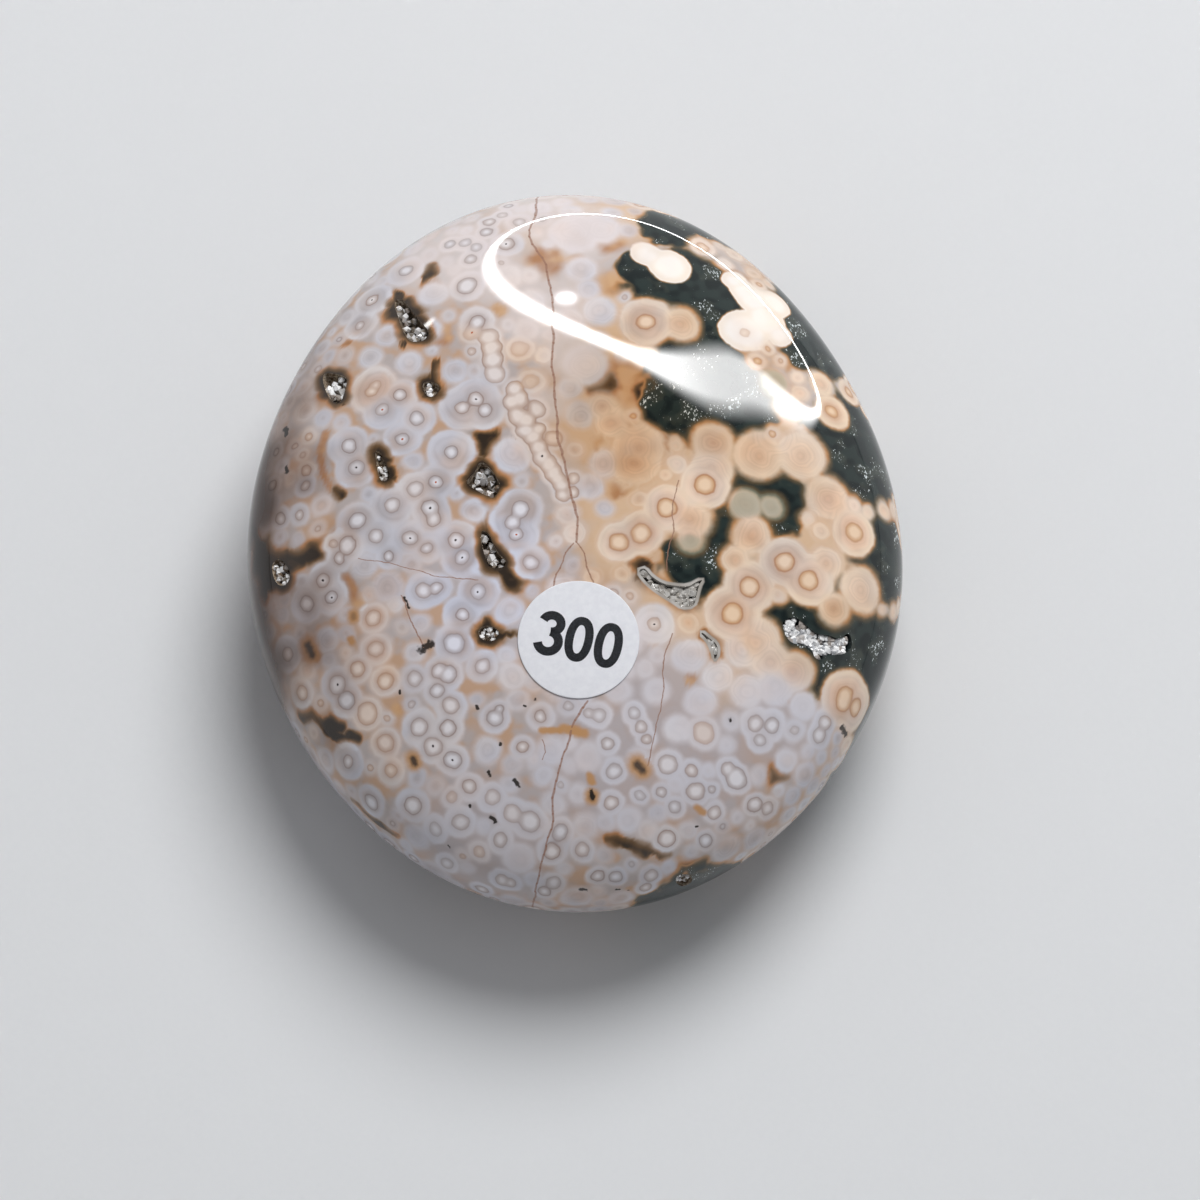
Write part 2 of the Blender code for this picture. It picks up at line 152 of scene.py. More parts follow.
# Orbs: across and up, the radius of the nucleus and of the shell, then 1 for a dark speck in the
# middle or 2 for a red one. Orbs with three numbers have a shell and no nucleus.
ORBS = {
    "pearl": [
        (-12.6, 30.6, 0.6, 1.3), (-11.1, 30.7, 0.6, 1.3), (-10, 30.2, 0.6, 1.3), (-10.6, 29, 0.6, 1.3),
        (-10.9, 26.3, 1, 2), (-8.7, 32.8, 0.6, 1.2), (-7.4, 33.5, 0.5, 1.1), (-6.7, 34.5, 0.5, 1.1),
        (-9, 31.8, 0.6, 1.2), (-6.9, 30.6, 0.8, 1.8, 1), (-9.9, 22.7, 0.8, 1.9),
        (-20.4, 24.9, 0.7, 2.24, 1), (-21.6, 22.4, 0.5, 2.02), (-17.2, 27.9, 0.8, 2.2),
        (-19.3, 13.8, 0.65, 2.13, 2), (-17.5, 15.3, 0.7, 2.02), (-15.8, 13.1, 0.75, 2.02),
        (-10, 15, 0.75, 2.46, 1), (-11.3, 14.1, 0.7, 2.46), (-9, 13.9, 0.7, 2.24),
        (-17.3, 11, 0.65, 2.02, 2), (-22.7, 10.2, 0.8, 2.35), (-21.9, 8.1, 0.85, 2.35, 1),
        (-12.4, 9.6, 0.7, 2.58), (-14, 6.6, 0.7, 2.13, 2), (-15.9, 5.9, 0.8, 2.02),
        (-14.5, 4, 0.8, 1.9, 1), (-14.2, 3, 0.7, 1.9), (-18.3, 4.3, 0.75, 2.46), (-21.7, 2.7, 0.9, 2.24),
        (-19.8, 1.2, 0.75, 2.02), (-16.5, 1.1, 0.75, 2.02, 1), (-22.7, 0.4, 0.9, 2.02),
        (-23.6, -0.9, 0.6, 1.57), (-14.8, 0, 0.6, 1.68), (-18.5, -0.8, 0.55, 1.57),
        (-11.9, 0.8, 0.8, 2.24, 1), (-11.3, -0.9, 0.75, 2.24, 1), (-25.2, -3.1, 0.65, 1.9, 1),
        (-24.3, -4.8, 0.65, 1.9, 1), (-26.7, -5.5, 0.8, 2.02), (-15.2, -4.1, 0.75, 2.02),
        (-13.9, -3.9, 0.6, 1.68), (-11.3, -6.6, 0.65, 2.02), (-9.6, -4.2, 0.75, 2.24, 1),
        (-29.9, 9.8, 0.4, 1.12), (-30.3, 6.3, 0.6, 1.34), (-27, 6.3, 0.5, 1.34), (-27.5, 3.4, 0.5, 1.34),
        (-29.5, 3.1, 0.6, 1.34), (-5.5, 3.9, 0.9, 2.46), (-6.3, 2.7, 0.75, 2.46),
        (-5.9, 1.4, 0.65, 2.35, 2), (-4.4, -1.3, 0.75, 1.9), (-28.6, -10.5, 0.7, 2.02),
        (-23.7, -13.5, 0.9, 2.02, 1), (-22.8, -15.1, 0.9, 1.9), (-12.1, -9.5, 1.05, 2.13),
        (-9.2, -11.6, 0.75, 1.79), (-13.6, -12.1, 0.7, 1.68), (-12.6, -12.5, 0.8, 1.68),
        (-13.7, -14.1, 0.75, 1.68), (-12.3, -15.6, 0.85, 1.79), (-12.6, -17.8, 0.8, 1.68),
        (-15.5, -17.7, 0.9, 2.02), (-14.1, -19.7, 0.95, 1.9, 1), (-12.2, -21, 0.9, 1.79, 1),
        (-20.3, -25.1, 0.8, 1.79), (-16.1, -25.4, 0.9, 1.9), (-22.6, -21.2, 0.6, 2.02),
        (-11.4, -27.1, 0.8, 1.68), (-10.6, -23.7, 0.7, 1.57), (-13.9, -27.8, 0.7, 1.57),
        (-8, -16.8, 0.75, 1.57), (-7.5, -15.9, 0.4, 1.01), (-3.4, -16.6, 0.6, 1.57),
        (2.2, -16.5, 0.7, 1.5), (1.2, -16.3, 0.5, 1.2), (-5.3, -19.7, 0.6, 1.34), (3.2, -19.3, 0.65, 1.3),
        (3.8, -21.9, 0.75, 1.4), (3.5, -25.1, 0.7, 1.4), (6.3, -24.5, 0.5, 1), (-8.3, -24.7, 0.8, 1.68),
        (-6.2, -26.3, 0.9, 1.79), (-4.6, -27, 1, 1.9), (-1.6, -28.2, 0.8, 1.68), (-2.4, -29.9, 0.8, 1.68),
        (0.7, -29.9, 0.7, 1.4), (-7.4, -28.9, 0.7, 1.46), (-12.8, -31.2, 0.7, 1.46),
        (-16.1, -30.8, 0.6, 1.34), (-9.4, -33.8, 0.7, 1.34), (-2.2, -33.2, 0.7, 1.34),
        (-3.1, -34, 0.6, 1.23), (2.2, -32.4, 0.6, 1.2), (3.9, -32.5, 0.6, 1.2), (7.5, -32.4, 0.7, 1.3),
        (6.9, -33.6, 0.6, 1.2), (17.8, -17.3, 0.8, 1.7), (19.5, -17.5, 0.8, 1.7), (18.3, -19, 0.6, 1.5),
        (24.8, -17.3, 0.75, 1.6), (24.2, -18.6, 0.75, 1.6), (9.2, -21.4, 1, 1.6), (11.5, -22, 0.6, 1.2),
        (11.8, -24, 0.85, 1.5), (13.4, -23.9, 0.4, 0.9), (15.1, -21.9, 0.75, 1.4),
        (15.9, -22.9, 1.1, 1.7), (8.5, -24.1, 0.55, 1.1), (9.8, -25.6, 0.6, 1.2), (13.7, -26.1, 0.7, 1.3),
        (17.8, -25.4, 0.8, 1.4), (19.1, -25.8, 0.7, 1.4), (9, -28.8, 0.9, 1.5), (12.9, -29, 0.7, 1.3),
        (-7.4, -32.8, 0.7, 1.46), (-6.5, -33.1, 0.6, 1.34), (5.8, -16.3, 0.6, 1.3),
        (6.5, -17.6, 0.6, 1.2), (7.1, -18.9, 0.5, 1.1)],
    "blush": [
        (-24.2, 0.5, 0.44, 1.2), (-26.9, 7.8, 0.53, 1.2), (-27.3, -14.3, 0.7, 1.8),
        (-21.7, -12, 0.79, 1.7), (-19.8, -10, 0.79, 1.8), (-20.1, -6.8, 0.79, 1.8),
        (-18.9, -13.1, 0.79, 1.7), (-20.7, -16.3, 1.1, 1.8), (-18.9, -19.4, 0.88, 1.8),
        (-18.3, -22.1, 0.62, 1.6), (-12.3, -24.8, 0.53, 1.2), (-9.6, -30, 0.62, 1.3),
        (12.6, -18.3, 1.1, 1.8), (-20.1, 16.3, 0.53, 2.4), (-20.4, 15.6, 0.62, 2.4),
        (-2.2, 10.9, 0.88, 1.4)],
    "tan": [
        (7, 22.7, 0.95, 2.9), (12.8, 6.4, 1, 2.7), (9.1, 4.1, 1, 2.6), (27.7, 1.7, 1, 2.6),
        (20.7, -1.3, 1, 2.7), (23.2, -3.1, 1, 2.8), (17.2, -3.8, 1, 2.8), (15.6, -6.4, 1.1, 3),
        (6.4, 1.6, 1, 2.4), (4.3, 0.7, 0.9, 2.2), (25.6, 13.7, 0.7, 2), (27.3, 15.7, 0.6, 1.6),
        (26.8, -14.6, 0.9, 2.7), (26.6, -15.2, 0.9, 2.7), (27.8, -15.8, 0.8, 2.5)],
    "beads": [
        (-8.7, 21.1, 1, 1.4), (-8.4, 20, 1, 1.4), (-8.3, 18.9, 1, 1.4), (-8.1, 17.5, 1, 1.4),
        (-6.1, 15.9, 0.9, 1.3), (-6.4, 14.6, 0.9, 1.3), (-5.6, 14.9, 0.9, 1.3), (-4, 14, 0.9, 1.3),
        (-5.8, 13.3, 0.9, 1.3), (-5, 12.9, 0.9, 1.3), (-5, 11.8, 0.9, 1.3), (-4.3, 11.1, 0.9, 1.3),
        (-3.8, 11.9, 0.8, 1.2), (-3.8, 10, 0.9, 1.3), (-3.5, 9.1, 0.9, 1.3, 1), (-2.8, 8.4, 0.9, 1.3),
        (-2.3, 7.6, 0.9, 1.3), (-1.9, 7, 0.8, 1.2), (-1.5, 6.4, 0.8, 1.2), (-1.3, 5.4, 0.7, 1.1),
        (-0.2, 7.1, 0.6, 1), (-0.3, 5.7, 0.6, 1), (7.8, -7.5, 0.7, 2.2, 1)],
    "peach": [
        (-5.6, 19.9, 0.9, 1.6), (-4.5, 16.6, 0.8, 1.5), (-10.3, 21.7, 0.9, 1.5, 2),
        (16.8, 21.7, 0.5, 0.6)],
    "rose": [
        (0.9, 18.4, 2.4), (11.2, -10.5, 1.9), (16.4, -10.1, 1.9), (12.4, -15.1, 1.7), (16.9, -14.1, 1.9),
        (7.9, -14.1, 1.4), (19.9, -13.6, 2.2), (14.1, -12.6, 1.8), (10.2, -17.9, 1.5), (22.6, -15.6, 1.6),
        (-0.6, 22.6, 1.8), (2.4, 23.8, 1.8), (-4.6, 24.6, 1.7), (-6.9, 27.2, 1.6), (-4.9, 21.9, 1.4),
        (0.4, 13.4, 1.6), (-0.6, 15.9, 1.3), (2.9, 8.4, 1.7), (1.4, 6.2, 1.5)],
    "cream": [
        (6.8, 29.7, 1.4), (7.5, 29.3, 1.3), (9.4, 28.3, 2.2), (15.9, 26.9, 1.4), (16.9, 25.7, 1.6),
        (17.8, 25, 2), (19.9, 24.6, 1.9), (20.3, 21.4, 1.5), (18.9, 22.9, 2.2), (16.8, 21.8, 2.6)],
    "honey": [
        (6.2, 10.1, 2.7), (5.8, 8.6, 2.7), (2.6, 14.2, 1.5), (3.6, 12.6, 1.8), (13.7, 10.6, 2.2),
        (18.2, 9.3, 2.6), (22.5, 9.3, 2.7), (17.5, 1.3, 2.1), (25.1, 5, 2.4), (28.4, -4.1, 2.5),
        (25.7, -6, 1.8), (25, -1.4, 1.8), (10.4, 22.4, 2.1), (21.6, -12.3, 2.2), (17.8, -9.2, 2.8),
        (19.4, -11.3, 2.2), (11.2, -7.3, 1.2), (13.6, 8.1, 2.2), (11.4, 2.9, 2.2), (15.9, -1.1, 1.6)],
    "milk": [
        (0, 31.7, 2.8), (2.4, 32.1, 2.2), (0.5, 28, 1.7), (-1.1, 25, 1.3), (-18.9, 21.4, 1.4),
        (-16.6, 18.5, 1.4), (-14.2, 25.6, 1.6), (-10.1, 3.9, 1.4), (-6.4, 9.3, 2), (-6.6, -6.1, 1.5),
        (21, -21, 1.4), (22.8, -22.5, 1.5), (5.3, -26.9, 1.4), (-14.6, 21.9, 1.4), (-12.1, 17.7, 1.4),
        (-24.7, -9.1, 1.5)],
    "ghost": [
        (19.9, 16.6, 1.5), (16.9, 4.3, 1.7), (19.5, 4.2, 1.2), (11.4, 0.9, 1.4)],
}
# Each kind's tone from 0 lavender to 1 tan, its lightness, the softness of its edge and the
# strength of the outline round its nucleus
KINDS = {
    "pearl": (0.10, 0.45, 0.25, 0.8),
    "blush": (0.50, 0.25, 0.40, 0.6),
    "tan": (0.85, 0.35, 0.35, 1.0),
    "beads": (0.35, 0.85, 0.30, 0.8),
    "peach": (0.80, 0.40, 0.60, 0.2),
    "cream": (0.80, 1.0, 0.08, 0.0),
    "honey": (1.0, 0.20, 0.75, 0.0),
    "rose": (0.25, 0.65, 0.65, 0.0),
    "milk": (0.0, 0.60, 0.55, 0.0),
    "ghost": (0.80, 0.10, 1.0, 0.0),
}
NO_NUCLEUS = -0.5  # the radius that stands for none
ORB_VARIETY = (0.1, 0.15, 0.25)  # how much tone, lightness and outline vary from orb to orb
PALEST = 0.9  # the lightness from which they don't
NEAREST_ORBS = 5  # how many orbs the material reads at each place
JOINING = 7.0  # how sharply the circles of neighbouring orbs join, per millimetre
TONE_JOINING = 2.4  # the same for their tones

# Orbs that fill the rest of the skin, on the face and on the unseen sides and back: the widest
# shell, the least spacing as a share of two radii together, how many have a nucleus, and the
# least outline and softness
FACE_FILL = (1.8, 0.8, 0.14, 0.3, 0.55)
HIDDEN_FILL = (2.0, 0.62, 0.75, 0.75, 0.25)
RIGHT_WIDER = 0.7  # how much wider the unseen ones are on the right
FILL_LEAST, FILL_COMMON = 0.7, 0.8  # the least shell that is kept, and that is drawn
FILL_TRIES = 16000
HIDDEN_BELOW, AWAY_BELOW = 0.2, -0.25  # cosines to the eye of skin out of sight, and turned away
MOUTH_ROOM = 0.2  # how far round a pocket no filling orb reaches
FILL_SEED = 11

# Seams and cracks: half the width, and the line
SEAMS = {
    "main_seam": (0.12, [
        (-3.9, 35.9), (-3.9, 34.4), (-4.3, 32.7), (-4.8, 31.6), (-4.4, 30.3), (-3.2, 28.7), (-2.5, 25.9),
        (-2.3, 20.9), (-2.4, 18.4), (-2, 13.8), (-1.8, 10.8), (-1.1, 8.3), (-0.5, 5.4), (0.1, 3.1),
        (0, 0.7)]),
    "flare_left": (0.08, [(0, 0.7), (-0.9, -0.2), (-1.4, -1.5), (-2.1, -2.8), (-2.3, -4.1)]),
    "flare_right": (0.08, [(0, 0.7), (0.9, -0.4), (1.2, -1.9), (1.7, -3.3)]),
    "lower_seam": (0.11, [
        (1.1, -15), (0, -16.9), (-0.8, -19.2), (-1.8, -22.2), (-2.2, -24.5), (-2.4, -27.1), (-2.7, -28.3),
        (-3.5, -31.3), (-4.3, -35.6)]),
    "left_hair": (0.05, [(-21.7, -0.9), (-18.3, -1.5), (-14, -2.7), (-9.6, -3.1)]),
    "right_hair": (0.06, [(10.1, 6.8), (9.6, 4), (9.8, 1.8), (9.1, -0.7), (9.1, -2.1)]),
    "sticker_hair": (0.06, [(9.6, -8.3), (8.9, -10.3), (8.5, -15.1), (7.9, -18.3), (7.2, -21.5)]),
    "fleck_hair": (0.07, [(-17.4, -4.6), (-16.7, -6.2), (-15.9, -8.2), (-15.2, -9.9)]),
    "short_hair": (0.05, [(-3.4, -18.9), (-3, -19.9), (-3.4, -21)]),
}
# Dark flecks: from one end to the other, and half the width
FLECKS = [
    (-28.99, 12.11, -28.91, 11.59, 0.315), (-28.89, 8.112, -28.81, 7.588, 0.225),
    (-15.3, -10.2, -14.6, -9.6, 0.42), (-9.788, -15.65, -9.712, -15.95, 0.14),
    (-5.075, -15.6, -4.925, -15.6, 0.14), (-4, -14.83, -4, -14.97, 0.14),
    (-8.675, -22.07, -8.525, -22.53, 0.175), (-5.925, -23, -5.475, -23.6, 0.21),
    (-10.5, -25.52, -10.5, -25.68, 0.14), (-8.425, -26.69, -7.975, -27.21, 0.21),
    (-12.57, -29.42, -12.43, -29.58, 0.14), (0.5, -33.73, 1.1, -33.88, 0.175),
    (3.938, -33.8, 4.162, -33.8, 0.105), (5.025, -33.9, 5.175, -33.9, 0.105),
    (-17.5, -13.95, -17.5, -14.25, 0.105), (15.3, -17.04, 15.3, -17.26, 0.175),
    (26.55, -17.81, 26.85, -18.49, 0.315), (11.93, -27.5, 12.07, -27.5, 0.105),
    (-17.11, -4.862, -16.59, -5.838, 0.126), (-7.5, -19.15, -7.5, -19.45, 0.14),
    (1.525, -24, 1.675, -24.6, 0.21),
]
# Small brown stains, given as the flecks are
STAINS = [
    (6.1, -21.4, 6.6, -21.9, 0.8), (1.5, -22.5, 1.6, -23.1, 0.35), (1.6, -24.4, 1.6, -24.7, 0.55),
    (-16.1, -20.8, -16, -21.4, 0.65), (-26.6, -9.5, -26.2, -10.6, 0.85), (-22.1, -6.6, -22.1, -6.8, 0.5),
    (-3.3, -18, -1.6, -18.1, 0.28), (-1.2, -17.9, 0.8, -18.4, 0.42), (-22.3, -9.1, -22.2, -9.3, 0.35),
    (12, -25.6, 12.6, -26.1, 0.3),
]
# How dark each of the three is, from brown to black, and how strongly it covers
SEAM_BLACK, STAIN_BLACK, FLECK_BLACK = 0.0, 0.5, 1.0
SEAM_STRENGTH, MARK_STRENGTH = 0.75, 0.95
SEAM_STEP = 0.8  # the length of a seam's straight strokes
NEAREST_STROKES = 2  # how many strokes the material reads at each place

# Tinted places between the orbs: the middle, and the radius at which the tint has half faded
TINTS = {
    "green": [
        (11.4, 24.9, 6), (23.4, 21.9, 6), (14.4, 14.9, 5.5), (12.4, 17.9, 5), (8.9, 13.9, 2.5),
        (28.4, 9.9, 6), (30.9, -1.1, 4.5), (26.4, -9.1, 6), (18.4, 4.9, 4.5), (12.9, -1.1, 4),
        (14.4, 33.4, 3.5), (6.4, 28.1, 2.2), (30.4, -11.1, 4.5), (20.9, -9.1, 4), (9.2, 32.4, 3),
        (31.9, -9.1, 3), (22.4, -14.1, 1.8)],
    "brown": [
        (-17.1, 23.4, 2.2), (-14.6, 27.9, 1.2), (-18.3, 25, 1.2), (-24.4, 16.4, 2), (-14.7, 16.1, 1.4),
        (-19.4, 9.4, 1.4), (-19.2, 7.4, 1.2), (-29.6, -2.1, 2.6), (-26.1, -0.4, 1.6), (-8.9, 10.9, 1.6),
        (-9.1, 6.7, 2.4), (-8.1, -0.6, 2.4), (-6.1, -3.1, 1.6), (-8.8, -8.4, 1.6), (2.4, 16.4, 1.8),
        (-23.6, 5.6, 0.9), (6.5, -29.8, 1.1), (3.8, -28.9, 1), (8.8, -30.3, 0.9), (10.8, -32.8, 1.8),
        (11.4, -32.1, 1.8), (20.1, -22.2, 1.4), (-23.8, -17.3, 1.2), (-22.1, -18.9, 1), (-27, -16.4, 1.2),
        (6.3, -1.8, 1.3), (12.9, -8.6, 0.9), (13.9, -10.6, 0.9), (-31.4, -1.1, 2.6), (-32.6, -5.1, 2.4),
        (-31.4, -9.1, 1.6), (-27.6, -1.1, 1.2), (-25.8, -10.6, 0.8), (-24.6, -17.6, 1), (7.4, 15.4, 1.6)],
    "amber": [
        (6.4, 15.9, 2.6), (4.4, 17.4, 2), (2.4, 15.4, 1.2), (27.4, -9.1, 1.8), (26.2, -10.6, 1.6),
        (3.7, 5.7, 1), (28.6, -7.1, 1), (27.3, -2.1, 0.6), (-0.1, 28.6, 1.2), (-3, 28.9, 2),
        (3.4, 30.9, 1.8), (3.6, 26.4, 1.6), (-7.6, 23.9, 1), (-13.6, 21.2, 1.4), (-20.1, 17.1, 1.2),
        (12.4, -2.6, 1.6), (12.4, -0.6, 1.4), (-17.8, -16, 0.7), (-0.1, -18.1, 0.8), (-14.6, 26.4, 1.2),
        (7.9, -9.1, 0.6), (26.9, 10.9, 1.4), (11.4, -12.9, 0.7)],
    "tan": [
        (2.4, 21.9, 6), (3.4, 12.9, 6), (6.4, 4.9, 7), (16.4, 6.9, 9), (22.4, -3.1, 9), (27.4, -15.1, 5),
        (11.4, -5.1, 6), (-1.6, 32.9, 5), (6.4, 33.9, 5), (12.4, -11.1, 5), (4.4, 0.9, 4)],
    "pale": [
        (0, 31.7, 5), (-3.6, 24.4, 5), (-12.6, 29.4, 6), (-4.6, 34.4, 5), (-0.6, 19.4, 3),
        (-8.1, 27.4, 4), (-2.6, 14.4, 2), (5.4, -10.1, 4), (8.4, -15.1, 6), (2.4, -21.1, 7),
        (12.4, -21.1, 6), (-9.6, -29.1, 7), (20.4, -17.1, 5)],
    "specks": [
        (8.4, 28.9, 2.6), (13, 29.3, 1.8), (12.8, 25.1, 1.8), (14.2, 27.9, 1.6), (22.8, 20.9, 2.2),
        (23.1, 18.7, 1.6), (16.4, 12.9, 3), (12.4, 14.9, 2.2), (27.9, 9.4, 2.6), (28.4, 6.9, 2),
        (31.6, -3.9, 1.4), (31.9, 1.8, 1.2), (30.1, -11, 1.6), (14.2, -0.8, 1.2), (7.4, 13.9, 1.4),
        (4.9, 27.9, 1.6), (5.4, 29.4, 1.2), (22.4, -9.1, 3), (25.4, -11.1, 2)],
}
# Gaps that run between the orbs: the tint, half the width, and the line
GAP_LINES = {
    "brown": [
        (0.5, [(-14.9, 27.7), (-15.2, 26.1)]),
        (0.4, [(-17.9, 21.9), (-17.2, 20.4)]),
        (0.5, [(-23.1, 16.4), (-23.2, 14.7)]),
        (0.5, [(-14, 18.7), (-13.9, 17.1)]),
        (0.45, [(-19.5, 9.9), (-19.1, 7.9), (-17.8, 6.1), (-16.4, 5.7)]),
        (0.5, [(-9.4, 11.1), (-9.3, 9.4)]),
        (0.5, [(-8.8, 3.4), (-8.4, 0.4), (-6.8, -3.1), (-6, -4.3)]),
        (0.45, [(-9.2, -7.3), (-7.6, -8.5), (-5.8, -8.3)]),
        (0.6, [(3.2, -28.6), (5.4, -29.3), (8.8, -30.1)]),
        (0.45, [(-20.4, 23.9), (-21.6, 21.9), (-23.1, 20.4)]),
        (0.7, [(-32.4, 2.9), (-31.4, 0.1), (-28.6, -0.7), (-25.8, 0.4), (-23.8, 1.3)]),
        (0.8, [(-32, -1.1), (-31, -5.1)]),
        (0.6, [(-26.8, -15.6), (-25.1, -17.6), (-22.6, -19.6)]),
        (0.5, [(-22.1, -25.1), (-20.1, -26.9), (-17.8, -28.5)]),
    ],
    "amber": [
        (0.7, [(-22.9, -2.9), (-22.2, -4.3), (-21.5, -5.4)]),
        (0.5, [(-25, 11.5), (-25.5, 9.7), (-25.3, 7.9), (-24.4, 5.9)]),
        (0.35, [(6.4, 7.9), (5.6, 5.9), (3.6, 4.9)]),
        (0.3, [(2.4, 16.9), (2.8, 12.9), (2.2, 9.9)]),
        (0.3, [(8.4, 12.9), (9.2, 9.9)]),
        (0.45, [(4.8, 12.9), (6.4, 10.9), (6, 7.9)]),
        (0.4, [(12.4, 4.4), (14.6, 2.9), (16.2, 0.4)]),
        (0.4, [(16.6, -2.1), (18.4, -5.1), (19.4, -7.3)]),
    ],
}
# How much of a tinted place's radius the filling orbs keep out of
GAP_SHARES = {"green": 0.95, "brown": 0.85, "amber": 0.7}
# How many tinted places the sides and back have, their least and greatest radius, and the lowest X
BACK_TINTS = {
    "green": (16, 4.0, 8.0, 6.0),
    "brown": (54, 1.0, 2.6, -40.0),
    "amber": (14, 0.8, 2.2, -40.0),
    "tan": (14, 5.0, 9.0, 4.0),
    "pale": (10, 4.0, 7.0, -40.0),
    "specks": (12, 1.5, 3.0, 8.0),
}
# Slow washes of colour, honey in the middle of the face and cool white beside the sticker: the
# place, the radius at which it has faded, and what the colour is multiplied by
WASHES = [((4.5, 11.0, 23.5), 12.0, (0.87, 0.78, 0.68)), ((-8.5, -9.5, 24.0), 12.0, (1.05, 1.08, 1.14))]
# The pale places are painted lighter on the upper face, partly painted light falling from above, and turn
# darker and bluer between these two levels
LOW_FACE = (-8.0, -18.0)  # along Y, from where and to where the pale places turn bluer
RIM_REACH, NO_RIM = 12.0, 9.0  # how far out rims are measured, and the distance that stands for none

# The frame and the lamps
FRAME_MIDDLE = (2.4, -5.1)  # what the middle of the frame looks at, as seen
FRAME_ACROSS = 120.0
CAMERA_AWAY = 2000.0
LAMP_AWAY = 600.0
LAMP_FROM_EYE = math.radians(84.0)  # how far the ring lamp stands round from the line of sight
LAMP_RIGHT = math.radians(13.5)
LAMP_RADIUS = 27.0  # in degrees as seen from the stone, as the widths of its tube are
LAMP_STRENGTH = 40.0
LAMP_TURNS, GLINT_TURNS = 240, 24  # how many steps go round a lamp
KEY_FROM_EYE, KEY_RIGHT = math.radians(55.0), math.radians(16.0)
KEY_AWAY, KEY_WIDTH, KEY_POWER = 900.0, 600.0, 7.0
# Small lamps that show on the face: the place, as seen, half the width and the strength
GLINTS = {
    "glint_upper": ((-1.1, 25.8), math.radians(2.2), 40.0),
    "glint_left": ((-15.1, 22.8), math.radians(1.5), 25.0),
}
FLOOR_REACH = 4000.0


def srgb(red, green, blue):
    """A colour given as 0 to 255 on a screen, as the light that a shader works with."""
    screen = np.array((red, green, blue)) / 255
    light = np.where(screen <= 0.04045, screen / 12.92, ((screen + 0.055) / 1.055) ** 2.4)
    return (*light.tolist(), 1.0)


def unit(vectors):
    return vectors / np.linalg.norm(vectors, axis=-1, keepdims=True)


# The shape of the stone


def outline_radius(angle):
    """Distance from the middle of the plan to its edge: a circle with a two-lobed, a three-lobed
    and a four-lobed wave round it."""
    return (
        MEAN_RADIUS
        + LONG_LOBE * np.cos(2 * (angle - LONG_AXIS))
        + EGG_LOBE * np.cos(3 * (angle - EGG_AXIS))
        + SQUARE_LOBE * np.cos(4 * angle)
    )


def dome(angle, rise):
    """Points of the stone by plan angle and rise: a superellipse from the widest level, where
    rise is 0, to the top at 90 degrees or the back at minus 90. The back is cut off level."""
    share = np.cos(rise) ** (2 / FULLNESS)
    height = np.abs(np.sin(rise)) ** (2 / FULLNESS)
    level = REST_DROP + np.where(rise >= 0, FACE_RISE, -BACK_DROP) * height
    radius = outline_radius(angle) * share
    return np.stack((
        OUTLINE_SHIFT[0] + radius * np.cos(angle),
        OUTLINE_SHIFT[1] + radius * np.sin(angle),
        np.maximum(level, 0.0),
    ), axis=-1)


def depth_share(points):
    """1 on the stone's surface, less inside it and more outside: the plan's share of its outline
    and the level's share of its reach, each raised to the fullness and added."""
    x = points[..., 0] - OUTLINE_SHIFT[0]
    y = points[..., 1] - OUTLINE_SHIFT[1]
    level = points[..., 2] - REST_DROP
    reach = np.where(level >= 0, FACE_RISE, BACK_DROP)
    out = np.hypot(x, y) / outline_radius(np.arctan2(y, x))
    return out**FULLNESS + (np.abs(level) / reach) ** FULLNESS


def steepest(points):
    """How depth_share grows along each axis, by small steps to both sides."""
    step = 0.02
    slopes = [
        (depth_share(points + step * axis) - depth_share(points - step * axis)) / (2 * step)
        for axis in np.eye(3)
    ]
    return np.stack(slopes, axis=-1)


def outward(points):
    return unit(steepest(points))


def settled(points):
    """The points moved along the slope of depth_share until they lie on the surface."""
    points = np.array(points, float)
    for _ in range(8):
        slope = steepest(points)
        excess = depth_share(points) - 1
        points -= slope * (excess / (slope**2).sum(-1))[..., None]
    return points


def in_the_look(seen):
    """Points on the plane square to the line of sight, through the widest level's middle."""
    seen = np.asarray(seen, float).reshape(-1, 2) + LOOK_CENTRE
    return seen[:, :1] * ACROSS_THE_LOOK + seen[:, 1:] * UP_THE_LOOK + WIDEST_LEVEL


def seen_points(seen):
    """Where lines of sight meet the stone: each steps in from the eye until it is inside, and the
    last step is halved until it is short. A line that misses ends on the nearest edge."""
    start = in_the_look(seen)
    step = 0.5
    outs = np.arange(3 * FACE_RISE, -3 * FACE_RISE, -step)
    shares = depth_share(start[:, None] + outs[None, :, None] * TOWARDS_EYE)
    hit = shares <= 1
    first = np.where(hit.any(1), hit.argmax(1), shares.argmin(1))
    inner = outs[first]
    outer = inner + step
    for _ in range(20):
        middle = (inner + outer) / 2
        outside = depth_share(start + middle[:, None] * TOWARDS_EYE) > 1
        outer = np.where(outside, middle, outer)
        inner = np.where(outside, inner, middle)
    return settled(start + inner[:, None] * TOWARDS_EYE)


def touching_plane(middle):
    """The plane that touches the stone at a point, as its directions east, north and up."""
    up = outward(middle)
    east = unit(np.cross((0.0, 1.0, 0.0), up))
    return east, np.cross(up, east), up


# Meshes


def make_piece(name, points, faces, material, body="root"):
    """A smooth mesh piece from points in millimetres, riding on a body unless that is None."""
    mesh = bpy.data.meshes.new(name)
    mesh.from_pydata((np.asarray(points) * MM).tolist(), [], faces)
    mesh.materials.append(material)
    mesh.shade_smooth()
    made = bpy.data.objects.new(name, mesh)
    bpy.context.scene.collection.objects.link(made)
    if body:
        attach(made, body)
    return made


def grid_faces(numbers):
    """Four-sided faces between the rows and columns of a grid of point numbers."""
    corners = (numbers[:-1, :-1], numbers[:-1, 1:], numbers[1:, 1:], numbers[1:, :-1])
    return np.stack(corners, axis=-1).reshape(-1, 4)


